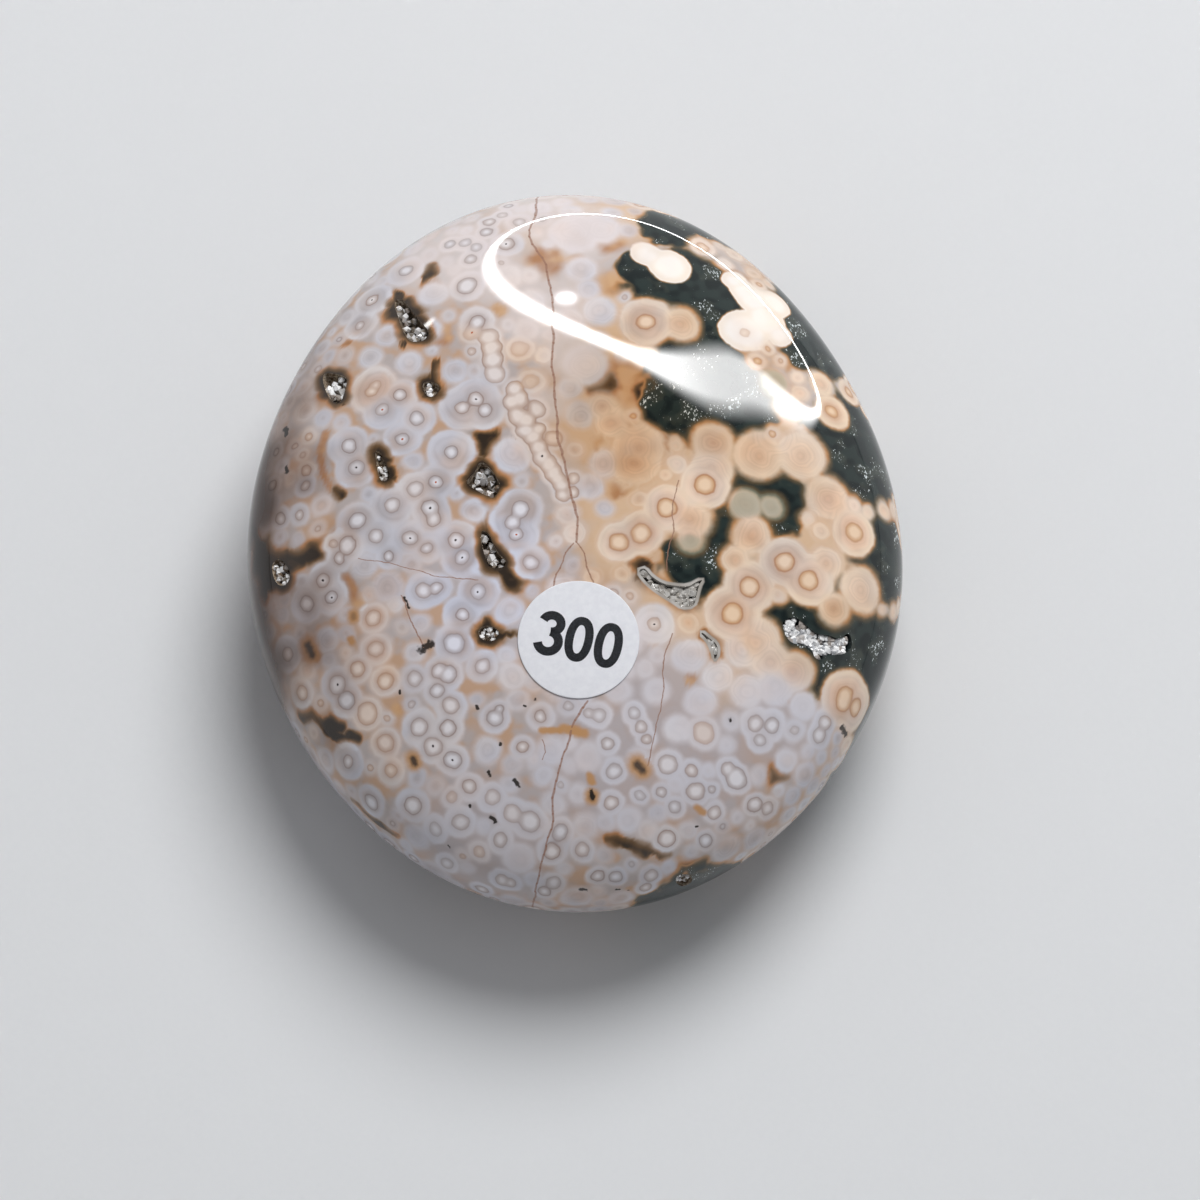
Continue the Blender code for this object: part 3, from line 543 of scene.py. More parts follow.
def ring_numbers(rings, turns, first=0):
    """Point numbers of closed rings, one to a row, with each row's first number again at its end."""
    numbers = first + np.arange(rings * turns).reshape(rings, turns)
    return np.hstack((numbers, numbers[:, :1]))


def end_caps(numbers):
    """The faces that close the first and the last of the rings of a tube."""
    return [numbers[0, -2::-1].tolist(), numbers[-1, :-1].tolist()]


def square_on_disc(side):
    """A square grid bent onto a disc, as plan angle and share of the radius. Each square ring
    becomes a round one, and the way along its sides becomes the angle."""
    line = np.linspace(-1, 1, side)
    u, v = np.meshgrid(line, line)
    wide = np.abs(u) > np.abs(v)
    share = np.where(wide, u, v)
    safe = np.where(share == 0, 1.0, share)
    turn = np.where(wide, math.pi / 4 * v / safe, math.pi / 2 - math.pi / 4 * u / safe)
    angle = np.where(share < 0, turn + math.pi, turn)
    return angle.ravel(), np.abs(share).ravel()


def stone_grid():
    """The whole closed skin: a face and a back, each a square bent onto a disc and domed, which
    share the points of their rim."""
    angle, share = square_on_disc(GRID_SIDE)
    rise = math.pi / 2 * (1 - share)
    face = dome(angle, rise)
    back = dome(angle, -rise)
    numbers = np.arange(GRID_SIDE**2).reshape(GRID_SIDE, GRID_SIDE)
    inner = np.zeros_like(numbers, bool)
    inner[1:-1, 1:-1] = True
    back_numbers = numbers.copy()
    back_numbers[inner] = GRID_SIDE**2 + np.arange(inner.sum())
    points = np.vstack((face, back[inner.ravel()]))
    return points, np.vstack((grid_faces(numbers), grid_faces(back_numbers)[:, ::-1]))


def mesh_vectors(elements, name):
    """One vector of each face or point of a mesh, in millimetres."""
    vectors = np.zeros(len(elements) * 3, np.float32)
    elements.foreach_get(name, vectors)
    return vectors.reshape(-1, 3) / MM


def store(mesh, name, values, domain="FACE"):
    """Keeps one vector for each face or point of the mesh, for the material to read."""
    attribute = mesh.attributes.new(name, "FLOAT_VECTOR", domain)
    attribute.data.foreach_set("vector", np.ascontiguousarray(values, np.float32).ravel())


# Pockets


def rounded(corners, times=3):
    """A closed outline with its corners cut: each side keeps its middle half, and the cut is made
    again on what results."""
    for _ in range(times):
        after = np.roll(corners, -1, axis=0)
        pairs = np.stack((0.75 * corners + 0.25 * after, 0.25 * corners + 0.75 * after), axis=1)
        corners = pairs.reshape(-1, 2)
    return corners


def moved_out(corners, distance):
    """A closed outline moved outwards, square to the mean of the two sides at each corner."""
    before = unit(corners - np.roll(corners, 1, axis=0))
    after = unit(np.roll(corners, -1, axis=0) - corners)
    mean = before + after
    return corners + distance * unit(np.stack((mean[:, 1], -mean[:, 0]), axis=-1))


def outline_distance(points, corners):
    """Distance of flat points from a closed outline, negative inside it. Inside is where a line
    to the right crosses an odd number of sides."""
    here = corners[None]
    there = np.roll(corners, -1, axis=0)[None]
    side = there - here
    offset = points[:, None] - here
    along = np.clip((offset * side).sum(-1) / (side**2).sum(-1), 0, 1)
    away = np.linalg.norm(offset - along[..., None] * side, axis=-1).min(1)
    y = points[:, None, 1]
    spans = (here[..., 1] > y) != (there[..., 1] > y)
    rise = np.where(side[..., 1] == 0, 1.0, side[..., 1])
    crossing = here[..., 0] + (y - here[..., 1]) * side[..., 0] / rise
    inside = (spans & (points[:, None, 0] < crossing)).sum(1) % 2 == 1
    return np.where(inside, -away, away)


class Pocket:
    """An open pocket: the plane that touches the stone at it, and its rounded mouth there."""

    def __init__(self, kind, depth, sunk, gap, seen):
        self.kind = kind
        self.depth = depth
        self.sunk = sunk
        corners = seen_points(seen)
        self.middle = corners.mean(0)
        self.east, self.north, self.up = touching_plane(self.middle)
        flat = self.flattened(corners)
        after = np.roll(flat, -1, axis=0)
        if (flat[:, 0] * after[:, 1] - after[:, 0] * flat[:, 1]).sum() < 0:
            flat = flat[::-1]
        self.mouth = rounded(moved_out(flat, gap))
        self.reach = np.abs(self.mouth).max()

    def flattened(self, points):
        """Points in space dropped onto the plane."""
        offset = points - self.middle
        return np.stack((offset @ self.east, offset @ self.north), axis=-1)

    def solid(self, flat, height):
        """Points in space from points on the plane and heights above it."""
        height = np.broadcast_to(height, len(flat))
        return (
            self.middle
            + flat[:, :1] * self.east
            + flat[:, 1:] * self.north
            + height[:, None] * self.up
        )


def pocket_cutter(pockets):
    """Closed plugs, one to a pocket: from above the face down through the mouth, where each level
    is the mouth's outline drawn in towards its middle, to a flat floor."""
    points, faces, first = [], [], 0
    for pocket in pockets:
        middle = pocket.mouth.mean(0)
        for scale, height in PLUG_LEVELS:
            flat = middle + scale * (pocket.mouth - middle)
            points.append(pocket.solid(flat, height if height > 0 else height * pocket.depth))
        rings = ring_numbers(len(PLUG_LEVELS), len(pocket.mouth), first)
        faces += grid_faces(rings)[:, ::-1].tolist()
        faces += [cap[::-1] for cap in end_caps(rings)]
        first += len(PLUG_LEVELS) * len(pocket.mouth)
    return np.vstack(points), faces


def cut_pockets(stone, pockets, materials):
    """Cuts the pockets out of the stone, and gives it the materials of its skin and its walls."""
    points, faces = pocket_cutter(pockets)
    cutter = make_piece("pocket_cutter", points, faces, materials[1], body=None)
    cut = stone.modifiers.new("Pockets", "BOOLEAN")
    cut.operation = "DIFFERENCE"
    cut.solver = "EXACT"
    cut.object = cutter
    seen = stone.evaluated_get(bpy.context.evaluated_depsgraph_get())
    mesh = bpy.data.meshes.new_from_object(seen)
    stone.modifiers.remove(cut)
    bpy.data.objects.remove(cutter)
    stone.data = mesh
    mesh.materials.clear()
    for material in materials:
        mesh.materials.append(material)
    return mesh


# The pattern of the stone


def face_orbs():
    """The orbs of the face as rows: place, nucleus, shell, tone, lightness, softness, outline
    and speck. Tone, lightness and outline vary from orb to orb, but not in the palest kind."""
    rows = []
    for kind, orbs in ORBS.items():
        for across, up, *sizes in orbs:
            nucleus, shell, speck = (*sizes, 0)[:3] if len(sizes) > 1 else (NO_NUCLEUS, sizes[0], 0)
            rows.append((across, up, nucleus, shell, *KINDS[kind], speck))
    rows = np.array(rows)
    vary = np.random.default_rng(FILL_SEED).uniform(-1, 1, (len(rows), 3))
    vary *= (rows[:, 5:6] < PALEST) * ORB_VARIETY
    rows[:, 4:6] = np.clip(rows[:, 4:6] + vary[:, :2], 0, 1)
    rows[:, 7] *= 1 - vary[:, 2] - ORB_VARIETY[2]
    return np.hstack((seen_points(rows[:, :2]), rows[:, 2:]))


def fill_with_orbs(orbs, gaps, points, rng):
    """Adds orbs until the skin is covered. Each stands on a random point of it, as wide as the
    gaps near it allow, and not too close to those before it. On the face they are soft, most have
    no nucleus, and they take the tone of the nearest orb. Out of sight they are as bold as those
    that are given, and go from lavender on the left to tan on the right by an S-shaped curve."""
    spots = points[rng.permutation(len(points))[:FILL_TRIES]]
    unseen = outward(spots) @ TOWARDS_EYE < HIDDEN_BELOW
    room = (np.linalg.norm(spots[:, None] - gaps[None, :, :3], axis=-1) - gaps[:, 3]).min(1)
    measured = count = len(orbs)
    rows = np.vstack((orbs, np.zeros((len(spots), orbs.shape[1]))))
    for spot, hidden, clear, draw in zip(spots, unseen, room, rng.random((len(spots), 5))):
        widest, spacing, bold_share, outline, soft = HIDDEN_FILL if hidden else FACE_FILL
        right = 1 / (1 + math.exp(-(spot[0] - 3) / 4))
        widest += RIGHT_WIDER * right * hidden
        shell = min(FILL_COMMON + (widest - FILL_COMMON) * draw[0], clear)
        if shell < FILL_LEAST:
            continue
        apart = np.linalg.norm(rows[:count, :3] - spot, axis=1)
        if (apart < spacing * (rows[:count, 4] + shell)).any():
            continue
        if hidden:
            tone = np.clip(right + 0.35 * (draw[1] - 0.5), 0.05, 0.95)
        else:
            tone = rows[apart[:measured].argmin(), 5] + 0.3 * (draw[1] - 0.5)
        bold = draw[2] < bold_share
        nucleus = shell * (0.3 + 0.16 * draw[3]) if bold else NO_NUCLEUS
        outline = outline + 0.25 * draw[4] if bold else 0.0
        light = 0.2 + 0.35 * draw[3]
        speck = hidden and bold and draw[1] < 0.2
        rows[count] = (*spot, nucleus, shell, tone, light, soft + 0.3 * draw[4], outline, speck)
        count += 1
    return rows[:count]


def nearest(points, rows, distance, count):
    """The numbers of the few rows that are nearest to each point, by a distance between points
    and rows, and how far they are. It is worked out for 3000 points at a time."""
    chosen, reach = [], []
    for start in range(0, len(points), 3000):
        apart = distance(points[start : start + 3000], rows)
        near = np.argpartition(apart, count, axis=1)[:, :count]
        chosen.append(near)
        reach.append(np.take_along_axis(apart, near, 1))
    return np.vstack(chosen), np.vstack(reach)


def ring_distance(points, orbs):
    """Distance of each point outside each orb's circle half way between nucleus and shell."""
    apart = np.linalg.norm(points[:, None] - orbs[None, :, :3], axis=-1)
    return apart - (np.maximum(orbs[:, 3], 0) + orbs[:, 4]) / 2


def stroke_distance(points, strokes):
    """Distance of each point from each stroke's edge: from its straight line, less its width."""
    start = strokes[None, :, :3]
    side = strokes[None, :, 3:6] - start
    offset = points[:, None] - start
    along = np.clip((offset * side).sum(-1) / (side**2).sum(-1), 0, 1)
    return np.linalg.norm(offset - along[..., None] * side, axis=-1) - strokes[:, 6]


def store_nearest_orbs(mesh, middles, orbs):
    """Keeps each face's nearest orbs, nearest first, and the speck of the nearest."""
    chosen, reach = nearest(middles, orbs, ring_distance, NEAREST_ORBS)
    chosen = np.take_along_axis(chosen, reach.argsort(1), 1)
    for i in range(NEAREST_ORBS):
        mine = orbs[chosen[:, i]]
        store(mesh, f"orb_{i}_place", mine[:, :3])
        store(mesh, f"orb_{i}_sizes", mine[:, 3:6])
        store(mesh, f"orb_{i}_looks", mine[:, 6:9])
    speck = orbs[chosen[:, 0], 9]
    store(mesh, "nearest_speck", np.stack((speck > 0, speck > 1, 0 * speck), axis=-1))


def store_nearest_strokes(mesh, middles, strokes):
    """Keeps each face's nearest strokes, in any order."""
    chosen = nearest(middles, strokes, stroke_distance, NEAREST_STROKES)[0]
    for i in range(NEAREST_STROKES):
        mine = strokes[chosen[:, i]]
        store(mesh, f"stroke_{i}_start", mine[:, :3])
        store(mesh, f"stroke_{i}_end", mine[:, 3:6])
        store(mesh, f"stroke_{i}_form", mine[:, 6:9])


def resampled(line, step):
    """Points at even steps along a line of straight runs."""
    line = np.array(line)
    along = np.concatenate(([0], np.cumsum(np.linalg.norm(np.diff(line, axis=0), axis=1))))
    spots = np.linspace(0, along[-1], max(2, round(along[-1] / step) + 1))
    return np.stack((np.interp(spots, along, line[:, 0]), np.interp(spots, along, line[:, 1])), axis=-1)


def face_strokes():
    """Seams, cracks, flecks and stains as rows: both ends, half the width, strength and blackness."""
    rows = []
    for half_width, line in SEAMS.values():
        places = seen_points(resampled(line, SEAM_STEP))
        for here, there in zip(places, places[1:]):
            rows.append((*here, *there, half_width, SEAM_STRENGTH, SEAM_BLACK))
    for marks, black in ((FLECKS, FLECK_BLACK), (STAINS, STAIN_BLACK)):
        for *line, half_width in marks:
            here, there = seen_points(line)
            rows.append((*here, *there, half_width, MARK_STRENGTH, black))
    return np.array(rows)


def tint_share(points, rows):
    """How far each point takes a tint: the strongest of the round places, each 1 in its middle,
    a half at its radius and 0 at half as far again."""
    share = np.zeros(len(points))
    for *place, radius in rows:
        inwards = np.clip(1.5 - np.linalg.norm(points - np.array(place), axis=1) / radius, 0, 1)
        share = np.maximum(share, inwards * inwards * (3 - 2 * inwards))
    return share


def tint_places(points, rng):
    """Every tint's places on the face, and more of them scattered over the sides and back."""
    places = {}
    away = outward(points) @ TOWARDS_EYE < AWAY_BELOW
    for name, (count, least, most, lowest_x) in BACK_TINTS.items():
        seen = np.array(TINTS[name])
        for half_width, line in GAP_LINES.get(name, ()):
            spots = resampled(line, half_width)
            seen = np.vstack((seen, np.insert(spots, 2, half_width, axis=1)))
        rows = np.hstack((seen_points(seen[:, :2]), seen[:, 2:]))
        spots = points[away & (points[:, 0] > lowest_x)]
        spots = spots[rng.integers(0, len(spots), count)]
        radii = rng.uniform(least, most, (count, 1))
        places[name] = np.vstack((rows, np.hstack((spots, radii))))
    return places


def store_tints(mesh, points, places):
    """How far each point takes each tint, as two vectors of three."""
    shares = {name: tint_share(points, rows) for name, rows in places.items()}
    deep = np.stack((shares["green"], shares["brown"], shares["amber"]), axis=-1)
    light = np.stack((shares["tan"], shares["pale"], shares["specks"]), axis=-1)
    store(mesh, "deep_tints", deep, "POINT")
    store(mesh, "light_tints", light, "POINT")


def store_pocket_rims(mesh, points, pockets):
    """The distance of each point outside the nearest pocket's mouth, and whether that pocket's
    crystals are of the grey or of the white kind."""
    rims = np.zeros((len(points), 3))
    rims[:, 0] = NO_RIM
    for pocket in pockets:
        close = np.flatnonzero(np.linalg.norm(points - pocket.middle, axis=1) < RIM_REACH)
        distance = outline_distance(pocket.flattened(points[close]), pocket.mouth)
        nearer = distance < rims[close, 0]
        rims[close[nearer], 0] = distance[nearer]
        rims[close[nearer], 1:] = pocket.kind == "grey", pocket.kind == "white"
    store(mesh, "pocket_rims", rims, "POINT")


# Node trees


class Wiring:
    """Adds nodes to one tree and joins them. A value is a number, a tuple or a node's output."""

    def __init__(self, tree):
        self.tree = tree

    def feed(self, socket, value):
        if isinstance(value, bpy.types.NodeSocket):
            self.tree.links.new(value, socket)
        else:
            socket.default_value = value

    def add(self, kind, *values, **settings):
        """A new node with its settings made and its first inputs fed in order."""
        node = self.tree.nodes.new(kind)
        for name, value in settings.items():
            setattr(node, name, value)
        for socket, value in zip(node.inputs, values):
            self.feed(socket, value)
        return node

    def math(self, operation, *values, clamp=False):
        return self.add("ShaderNodeMath", *values, operation=operation, use_clamp=clamp).outputs[0]

    def times(self, *values):
        """All the values multiplied."""
        return reduce(lambda first, second: self.math("MULTIPLY", first, second), values)

    def plus(self, *values):
        """All the values added."""
        return reduce(lambda first, second: self.math("ADD", first, second), values)

    def vector(self, operation, *values):
        """A vector, or for a distance or a dot product a number."""
        node = self.add("ShaderNodeVectorMath", *values, operation=operation)
        return node.outputs["Value" if operation in ("DISTANCE", "DOT_PRODUCT") else 0]

    def vector_sum(self, *values):
        return reduce(lambda first, second: self.vector("ADD", first, second), values)

    def scaled(self, vector, scale):
        node = self.add("ShaderNodeVectorMath", vector, operation="SCALE")
        self.feed(node.inputs["Scale"], scale)
        return node.outputs[0]

    def smooth(self, value, start, end, low=0.0, high=1.0):
        """low up to start, high from end on, and a smooth step between them."""
        kind = "SMOOTHSTEP"
        node = self.add("ShaderNodeMapRange", value, start, end, low, high, interpolation_type=kind)
        return node.outputs["Result"]

    def blend(self, share, first, second, kind="MIX"):
        node = self.add("ShaderNodeMix", share, data_type="RGBA", blend_type=kind)
        self.feed(node.inputs[6], first)
        self.feed(node.inputs[7], second)
        return node.outputs[2]

    def dyed(self, colour, dye):
        """A colour multiplied by another, channel by channel."""
        return self.blend(1.0, colour, dye, "MULTIPLY")

    def noise(self, place, scale, detail=2.0, rough=0.5, dimensions="3D"):
        node = self.add("ShaderNodeTexNoise", noise_dimensions=dimensions)
        self.feed(node.inputs["W" if dimensions == "1D" else "Vector"], place)
        for name, value in (("Scale", scale), ("Detail", detail), ("Roughness", rough)):
            node.inputs[name].default_value = value
        return node.outputs

    def attribute(self, name):
        return self.add("ShaderNodeAttribute", attribute_name=name).outputs["Vector"]

    def split(self, vector):
        return self.add("ShaderNodeSeparateXYZ", vector).outputs[:]

    def join(self, x, y, z):
        return self.add("ShaderNodeCombineXYZ", x, y, z).outputs[0]

    def group(self, tree, **values):
        node = self.add("ShaderNodeGroup", node_tree=tree)
        for name, value in values.items():
            self.feed(node.inputs[name], value)
        return node.outputs

    def place(self):
        """Object coordinates in millimetres."""
        return self.scaled(self.add("ShaderNodeTexCoord").outputs["Object"], 1 / MM)

    def bump(self, height, strength, distance):
        node = self.add("ShaderNodeBump")
        self.feed(node.inputs["Height"], height)
        node.inputs["Strength"].default_value = strength
        node.inputs["Distance"].default_value = distance * MM
        return node.outputs[0]


def new_group(name, inputs, outputs):
    """An empty shader group with named sockets: its wiring, its inputs and its outputs by name."""
    tree = bpy.data.node_groups.new(name, "ShaderNodeTree")
    for way, sockets in (("INPUT", inputs), ("OUTPUT", outputs)):
        for socket, kind in sockets.items():
            tree.interface.new_socket(name=socket, in_out=way, socket_type=f"NodeSocket{kind}")
    given = tree.nodes.new("NodeGroupInput").outputs
    return Wiring(tree), given, tree.nodes.new("NodeGroupOutput").inputs


def new_material(name, **settings):
    """A material, its wiring and its shader's inputs, with the even values set on the shader."""
    material = bpy.data.materials.new(name)
    material.use_nodes = True
    shader = material.node_tree.nodes["Principled BSDF"]
    for key, value in settings.items():
        shader.inputs[key].default_value = value
    return material, Wiring(material.node_tree), shader.inputs


def orb_group():
    """One orb's share in the pattern. Nearness falls off by e for each JOINING-th of a millimetre
    outside the circle, so that the logarithm of a sum of them is a smooth least distance."""
    wiring, given, out = new_group(
        "orb",
        {"Place": "Vector", "Middle": "Vector", "Sizes": "Vector", "Looks": "Vector"},
        {"Nucleus": "Float", "Shell": "Float", "Share": "Float", "Tones": "Vector", "Outline": "Float"},
    )
    apart = wiring.vector("DISTANCE", given["Place"], given["Middle"])
    nucleus_radius, shell_radius, tone = wiring.split(given["Sizes"])
    light, soft, outline = wiring.split(given["Looks"])

    def nearness(radius, joining):
        outside = wiring.math("SUBTRACT", apart, radius)
        return wiring.math("EXPONENT", wiring.times(outside, -joining))

    nucleus = nearness(nucleus_radius, JOINING)
    share = nearness(shell_radius, TONE_JOINING)
    wiring.feed(out["Nucleus"], nucleus)
    wiring.feed(out["Shell"], nearness(shell_radius, JOINING))
    wiring.feed(out["Share"], share)
    wiring.feed(out["Tones"], wiring.scaled(wiring.join(tone, light, soft), share))
    wiring.feed(out["Outline"], wiring.times(outline, nucleus))
    return wiring.tree


def stroke_group():
    """Distance from a straight stroke: from the foot of the square dropped on it, kept between
    its ends."""
    wiring, given, out = new_group(
        "stroke", {"Place": "Vector", "Start": "Vector", "End": "Vector"}, {"Distance": "Float"}
    )
    side = wiring.vector("SUBTRACT", given["End"], given["Start"])
    offset = wiring.vector("SUBTRACT", given["Place"], given["Start"])
    reach = wiring.vector("DOT_PRODUCT", side, side)
    along = wiring.math("DIVIDE", wiring.vector("DOT_PRODUCT", offset, side), reach, clamp=True)
    wiring.feed(out["Distance"], wiring.vector("DISTANCE", offset, wiring.scaled(side, along)))
    return wiring.tree


# Materials


def warped(wiring, place):
    """The place moved along the surface by a slow and a fine noise, so that circles and lines
    aren't perfect."""
    shifts = []
    for scale, reach in ((0.3, 0.7), (1.5, 0.22)):
        drift = wiring.noise(place, scale, 1.0)["Color"]
        shifts.append(wiring.scaled(wiring.vector("SUBTRACT", drift, (0.5, 0.5, 0.5)), reach))
    shift = wiring.vector("ADD", *shifts)
    normal = wiring.add("ShaderNodeNewGeometry").outputs["Normal"]
    out = wiring.scaled(normal, wiring.vector("DOT_PRODUCT", normal, shift))
    return wiring.vector("ADD", place, wiring.vector("SUBTRACT", shift, out))


def read_orbs(wiring, moved):
    """What the nearest orbs give together: the smooth least distances to the nuclei and to the
    outer edge of the shells, and the mean outline, tone, lightness and softness."""
    group = orb_group()
    orbs = []
    for i in range(NEAREST_ORBS):
        middle, sizes, looks = (wiring.attribute(f"orb_{i}_{part}") for part in ("place", "sizes", "looks"))
        orbs.append(wiring.group(group, Place=moved, Middle=middle, Sizes=sizes, Looks=looks))
    nucleus, shell, share, outline = (
        wiring.plus(*(orb[name] for orb in orbs)) for name in ("Nucleus", "Shell", "Share", "Outline")
    )
    tones = wiring.vector_sum(*(orb["Tones"] for orb in orbs))
    tone, light, soft = wiring.split(wiring.scaled(tones, wiring.math("DIVIDE", 1.0, share)))
    to_nucleus, to_shell = (
        wiring.math("DIVIDE", wiring.math("LOGARITHM", near, math.e), -JOINING) for near in (nucleus, shell)
    )
    outline = wiring.math("DIVIDE", outline, nucleus)
    return SimpleNamespace(
        to_nucleus=to_nucleus, to_shell=to_shell, outline=outline, tone=tone, light=light, soft=soft
    )


def read_tints(wiring, place):
    """The tints, how near the place is to any gap, and how far it is down the face."""
    green, brown, amber = wiring.split(wiring.attribute("deep_tints"))
    tan, pale, specks = wiring.split(wiring.attribute("light_tints"))
    gap = wiring.math("MAXIMUM", green, wiring.math("MAXIMUM", brown, amber))
    low = wiring.smooth(wiring.split(place)[1], *LOW_FACE)
    return SimpleNamespace(
        green=green, brown=brown, amber=amber, tan=tan, pale=pale, specks=specks, gap=gap, low=low
    )


def jasper_material():
    """Polished orbicular jasper. The distance to the nuclei and the distance to the outer edge of
    the shells set every band; what lies outside the shells is chalcedony, brown or green."""
    material, wiring, shader = new_material("polished ocean jasper", Roughness=0.04, IOR=1.54)
    place = wiring.place()
    moved = warped(wiring, place)
    orbs = read_orbs(wiring, moved)
    tints = read_tints(wiring, place)
    colour = shell_colour(wiring, place, orbs, tints)
    colour = with_nuclei(wiring, moved, colour, orbs, tints)
    colour = with_gaps(wiring, place, colour, orbs, tints)
    colour = with_washes(wiring, place, colour)
    colour = with_strokes(wiring, moved, colour)
    colour = with_smoky_and_shaded_flank(wiring, place, colour)
    wiring.feed(shader["Base Color"], colour)
    return material


def shell_colour(wiring, place, orbs, tints):
    """The shell's colour by its tone and lightness, duller near the nucleus than at the edge,
    with thin bands that follow the nuclei. Slow clouds make it tanner or rosier. It has a light
    rim, strongest beside a gap, and where it meets pale ground a thin line. The softest orbs are
    grey green ghosts, and all grow milky in the pale places: lighter high on the face, partly
    painted light, and darker and bluer low on it."""
    cloud, rose, veil = wiring.split(wiring.noise(place, 0.2, 2.0)["Color"])
    tone = wiring.math("ADD", orbs.tone, wiring.smooth(cloud, 0.3, 0.7, -0.15, 0.15), clamp=True)
    thickness = wiring.math("SUBTRACT", orbs.to_nucleus, orbs.to_shell)
    across = wiring.math("DIVIDE", orbs.to_nucleus, thickness, clamp=True)
    cool = wiring.blend(across, srgb(168, 160, 161), srgb(190, 186, 194))
    warm = wiring.blend(across, srgb(200, 146, 100), srgb(226, 196, 164))
    bright = wiring.blend(tone, srgb(210, 209, 218), srgb(255, 246, 236))
    colour = wiring.blend(orbs.light, wiring.blend(tone, cool, warm), bright)
    less_tan = wiring.smooth(tone, 0.3, 0.8, 1.0, 0.5)
    rosy = wiring.times(wiring.smooth(rose, 0.4, 0.66, 0.0, 0.9), less_tan)
    colour = wiring.blend(rosy, colour, wiring.dyed(colour, (1.0, 0.86, 0.75, 1.0)))

    drift = wiring.plus(orbs.to_nucleus, wiring.times(veil, 2.5))
    bands = wiring.noise(drift, 2.6, 1.0, dimensions="1D")["Fac"]
    bands = wiring.smooth(bands, 0.25, 0.75, 0.94, 1.04)
    shade = wiring.times(bands, wiring.smooth(veil, 0.35, 0.65, 1.05, 0.88))
    plain = wiring.smooth(orbs.light, 0.8, 1.0)
    shade = wiring.plus(wiring.times(shade, wiring.math("SUBTRACT", 1.0, plain)), plain)
    colour = wiring.dyed(colour, wiring.join(shade, shade, shade))

    depth = wiring.times(orbs.to_shell, -1.0)
    edge = wiring.times(wiring.smooth(depth, -0.1, 0.3), wiring.smooth(depth, 1.1, 0.3))
    by_gap = wiring.smooth(tints.gap, 0.02, 0.4, 0.5, 1.0)
    by_tone = wiring.smooth(tone, 0.3, 0.8, 0.9, 0.5)
    by_softness = wiring.smooth(orbs.soft, 0.45, 0.9, 1.0, 0.1)
    rim = wiring.blend(tone, srgb(208, 209, 219), srgb(240, 218, 192))
    colour = wiring.blend(wiring.times(edge, by_gap, by_tone, by_softness), colour, rim)
    ghost = wiring.smooth(orbs.soft, 0.85, 1.0, 0.0, 0.65)
    colour = wiring.blend(ghost, colour, srgb(164, 166, 148))

    off_gaps = wiring.smooth(tints.gap, 0.3, 0.0)
    seam = wiring.times(wiring.smooth(depth, 0.3, 0.05), off_gaps)
    seam = wiring.times(seam, wiring.smooth(depth, -0.3, -0.02, 0.0, 0.35))
    colour = wiring.blend(seam, colour, wiring.blend(tone, srgb(212, 207, 209), srgb(202, 146, 98)))
    # Painted light in part: pale places lighter high on the face, darker and bluer low on it
    milky_and_toplit = wiring.blend(tints.low, srgb(234, 220, 216), srgb(213, 210, 218))
    return wiring.blend(wiring.times(tints.pale, 0.6), colour, milky_and_toplit)


def with_nuclei(wiring, moved, colour, orbs, tints):
    """Each nucleus: a pale fill that is lightest in the middle, a thin dark outline, a shaded ring
    just outside it, and in some a speck in the middle. Outlines are fainter in the pale places."""
    tone, to_nucleus = orbs.tone, orbs.to_nucleus
    outline = wiring.times(orbs.outline, wiring.smooth(tints.pale, 0.0, 1.0, 1.0, 0.65))
    near = wiring.times(wiring.smooth(to_nucleus, 0.5, 0.0), outline)
    shadow = wiring.blend(tone, srgb(158, 148, 148), srgb(205, 160, 120))
    colour = wiring.blend(wiring.times(near, 0.3), colour, shadow)

    fill_edge = wiring.blend(tone, srgb(182, 174, 176), srgb(208, 164, 122))
    fill_middle = wiring.blend(tone, srgb(225, 223, 229), srgb(236, 204, 170))
    fill = wiring.blend(wiring.smooth(to_nucleus, -0.05, -0.6), fill_edge, fill_middle)
    bold = wiring.smooth(outline, 0.0, 0.6, 0.3, 1.0)
    colour = wiring.blend(wiring.times(wiring.smooth(to_nucleus, 0.06, -0.06), bold), colour, fill)

    half_width = wiring.smooth(tone, 0.4, 0.8, 0.12, 0.16)
    off_line = wiring.math("DIVIDE", wiring.math("ABSOLUTE", to_nucleus), half_width)
    line = wiring.times(wiring.smooth(off_line, 1.0, 0.1), outline, 0.68)
    colour = wiring.blend(line, colour, wiring.blend(tone, srgb(122, 104, 98), srgb(176, 118, 76)))

    has_speck, red, _ = wiring.split(wiring.attribute("nearest_speck"))
    apart = wiring.vector("DISTANCE", moved, wiring.attribute("orb_0_place"))
    speck = wiring.times(wiring.smooth(apart, 0.16, 0.06), has_speck)
    return wiring.blend(speck, colour, wiring.blend(red, srgb(60, 52, 54), srgb(176, 82, 36)))


def stained(wiring, colour, depth, halo, middle, deep):
    """The colour taken through three others as depth goes from 0 to 1."""
    colour = wiring.blend(wiring.smooth(depth, 0.0, 0.4), colour, halo)
    colour = wiring.blend(wiring.smooth(depth, 0.25, 0.7), colour, middle)
    return wiring.blend(wiring.smooth(depth, 0.6, 1.0), colour, deep)


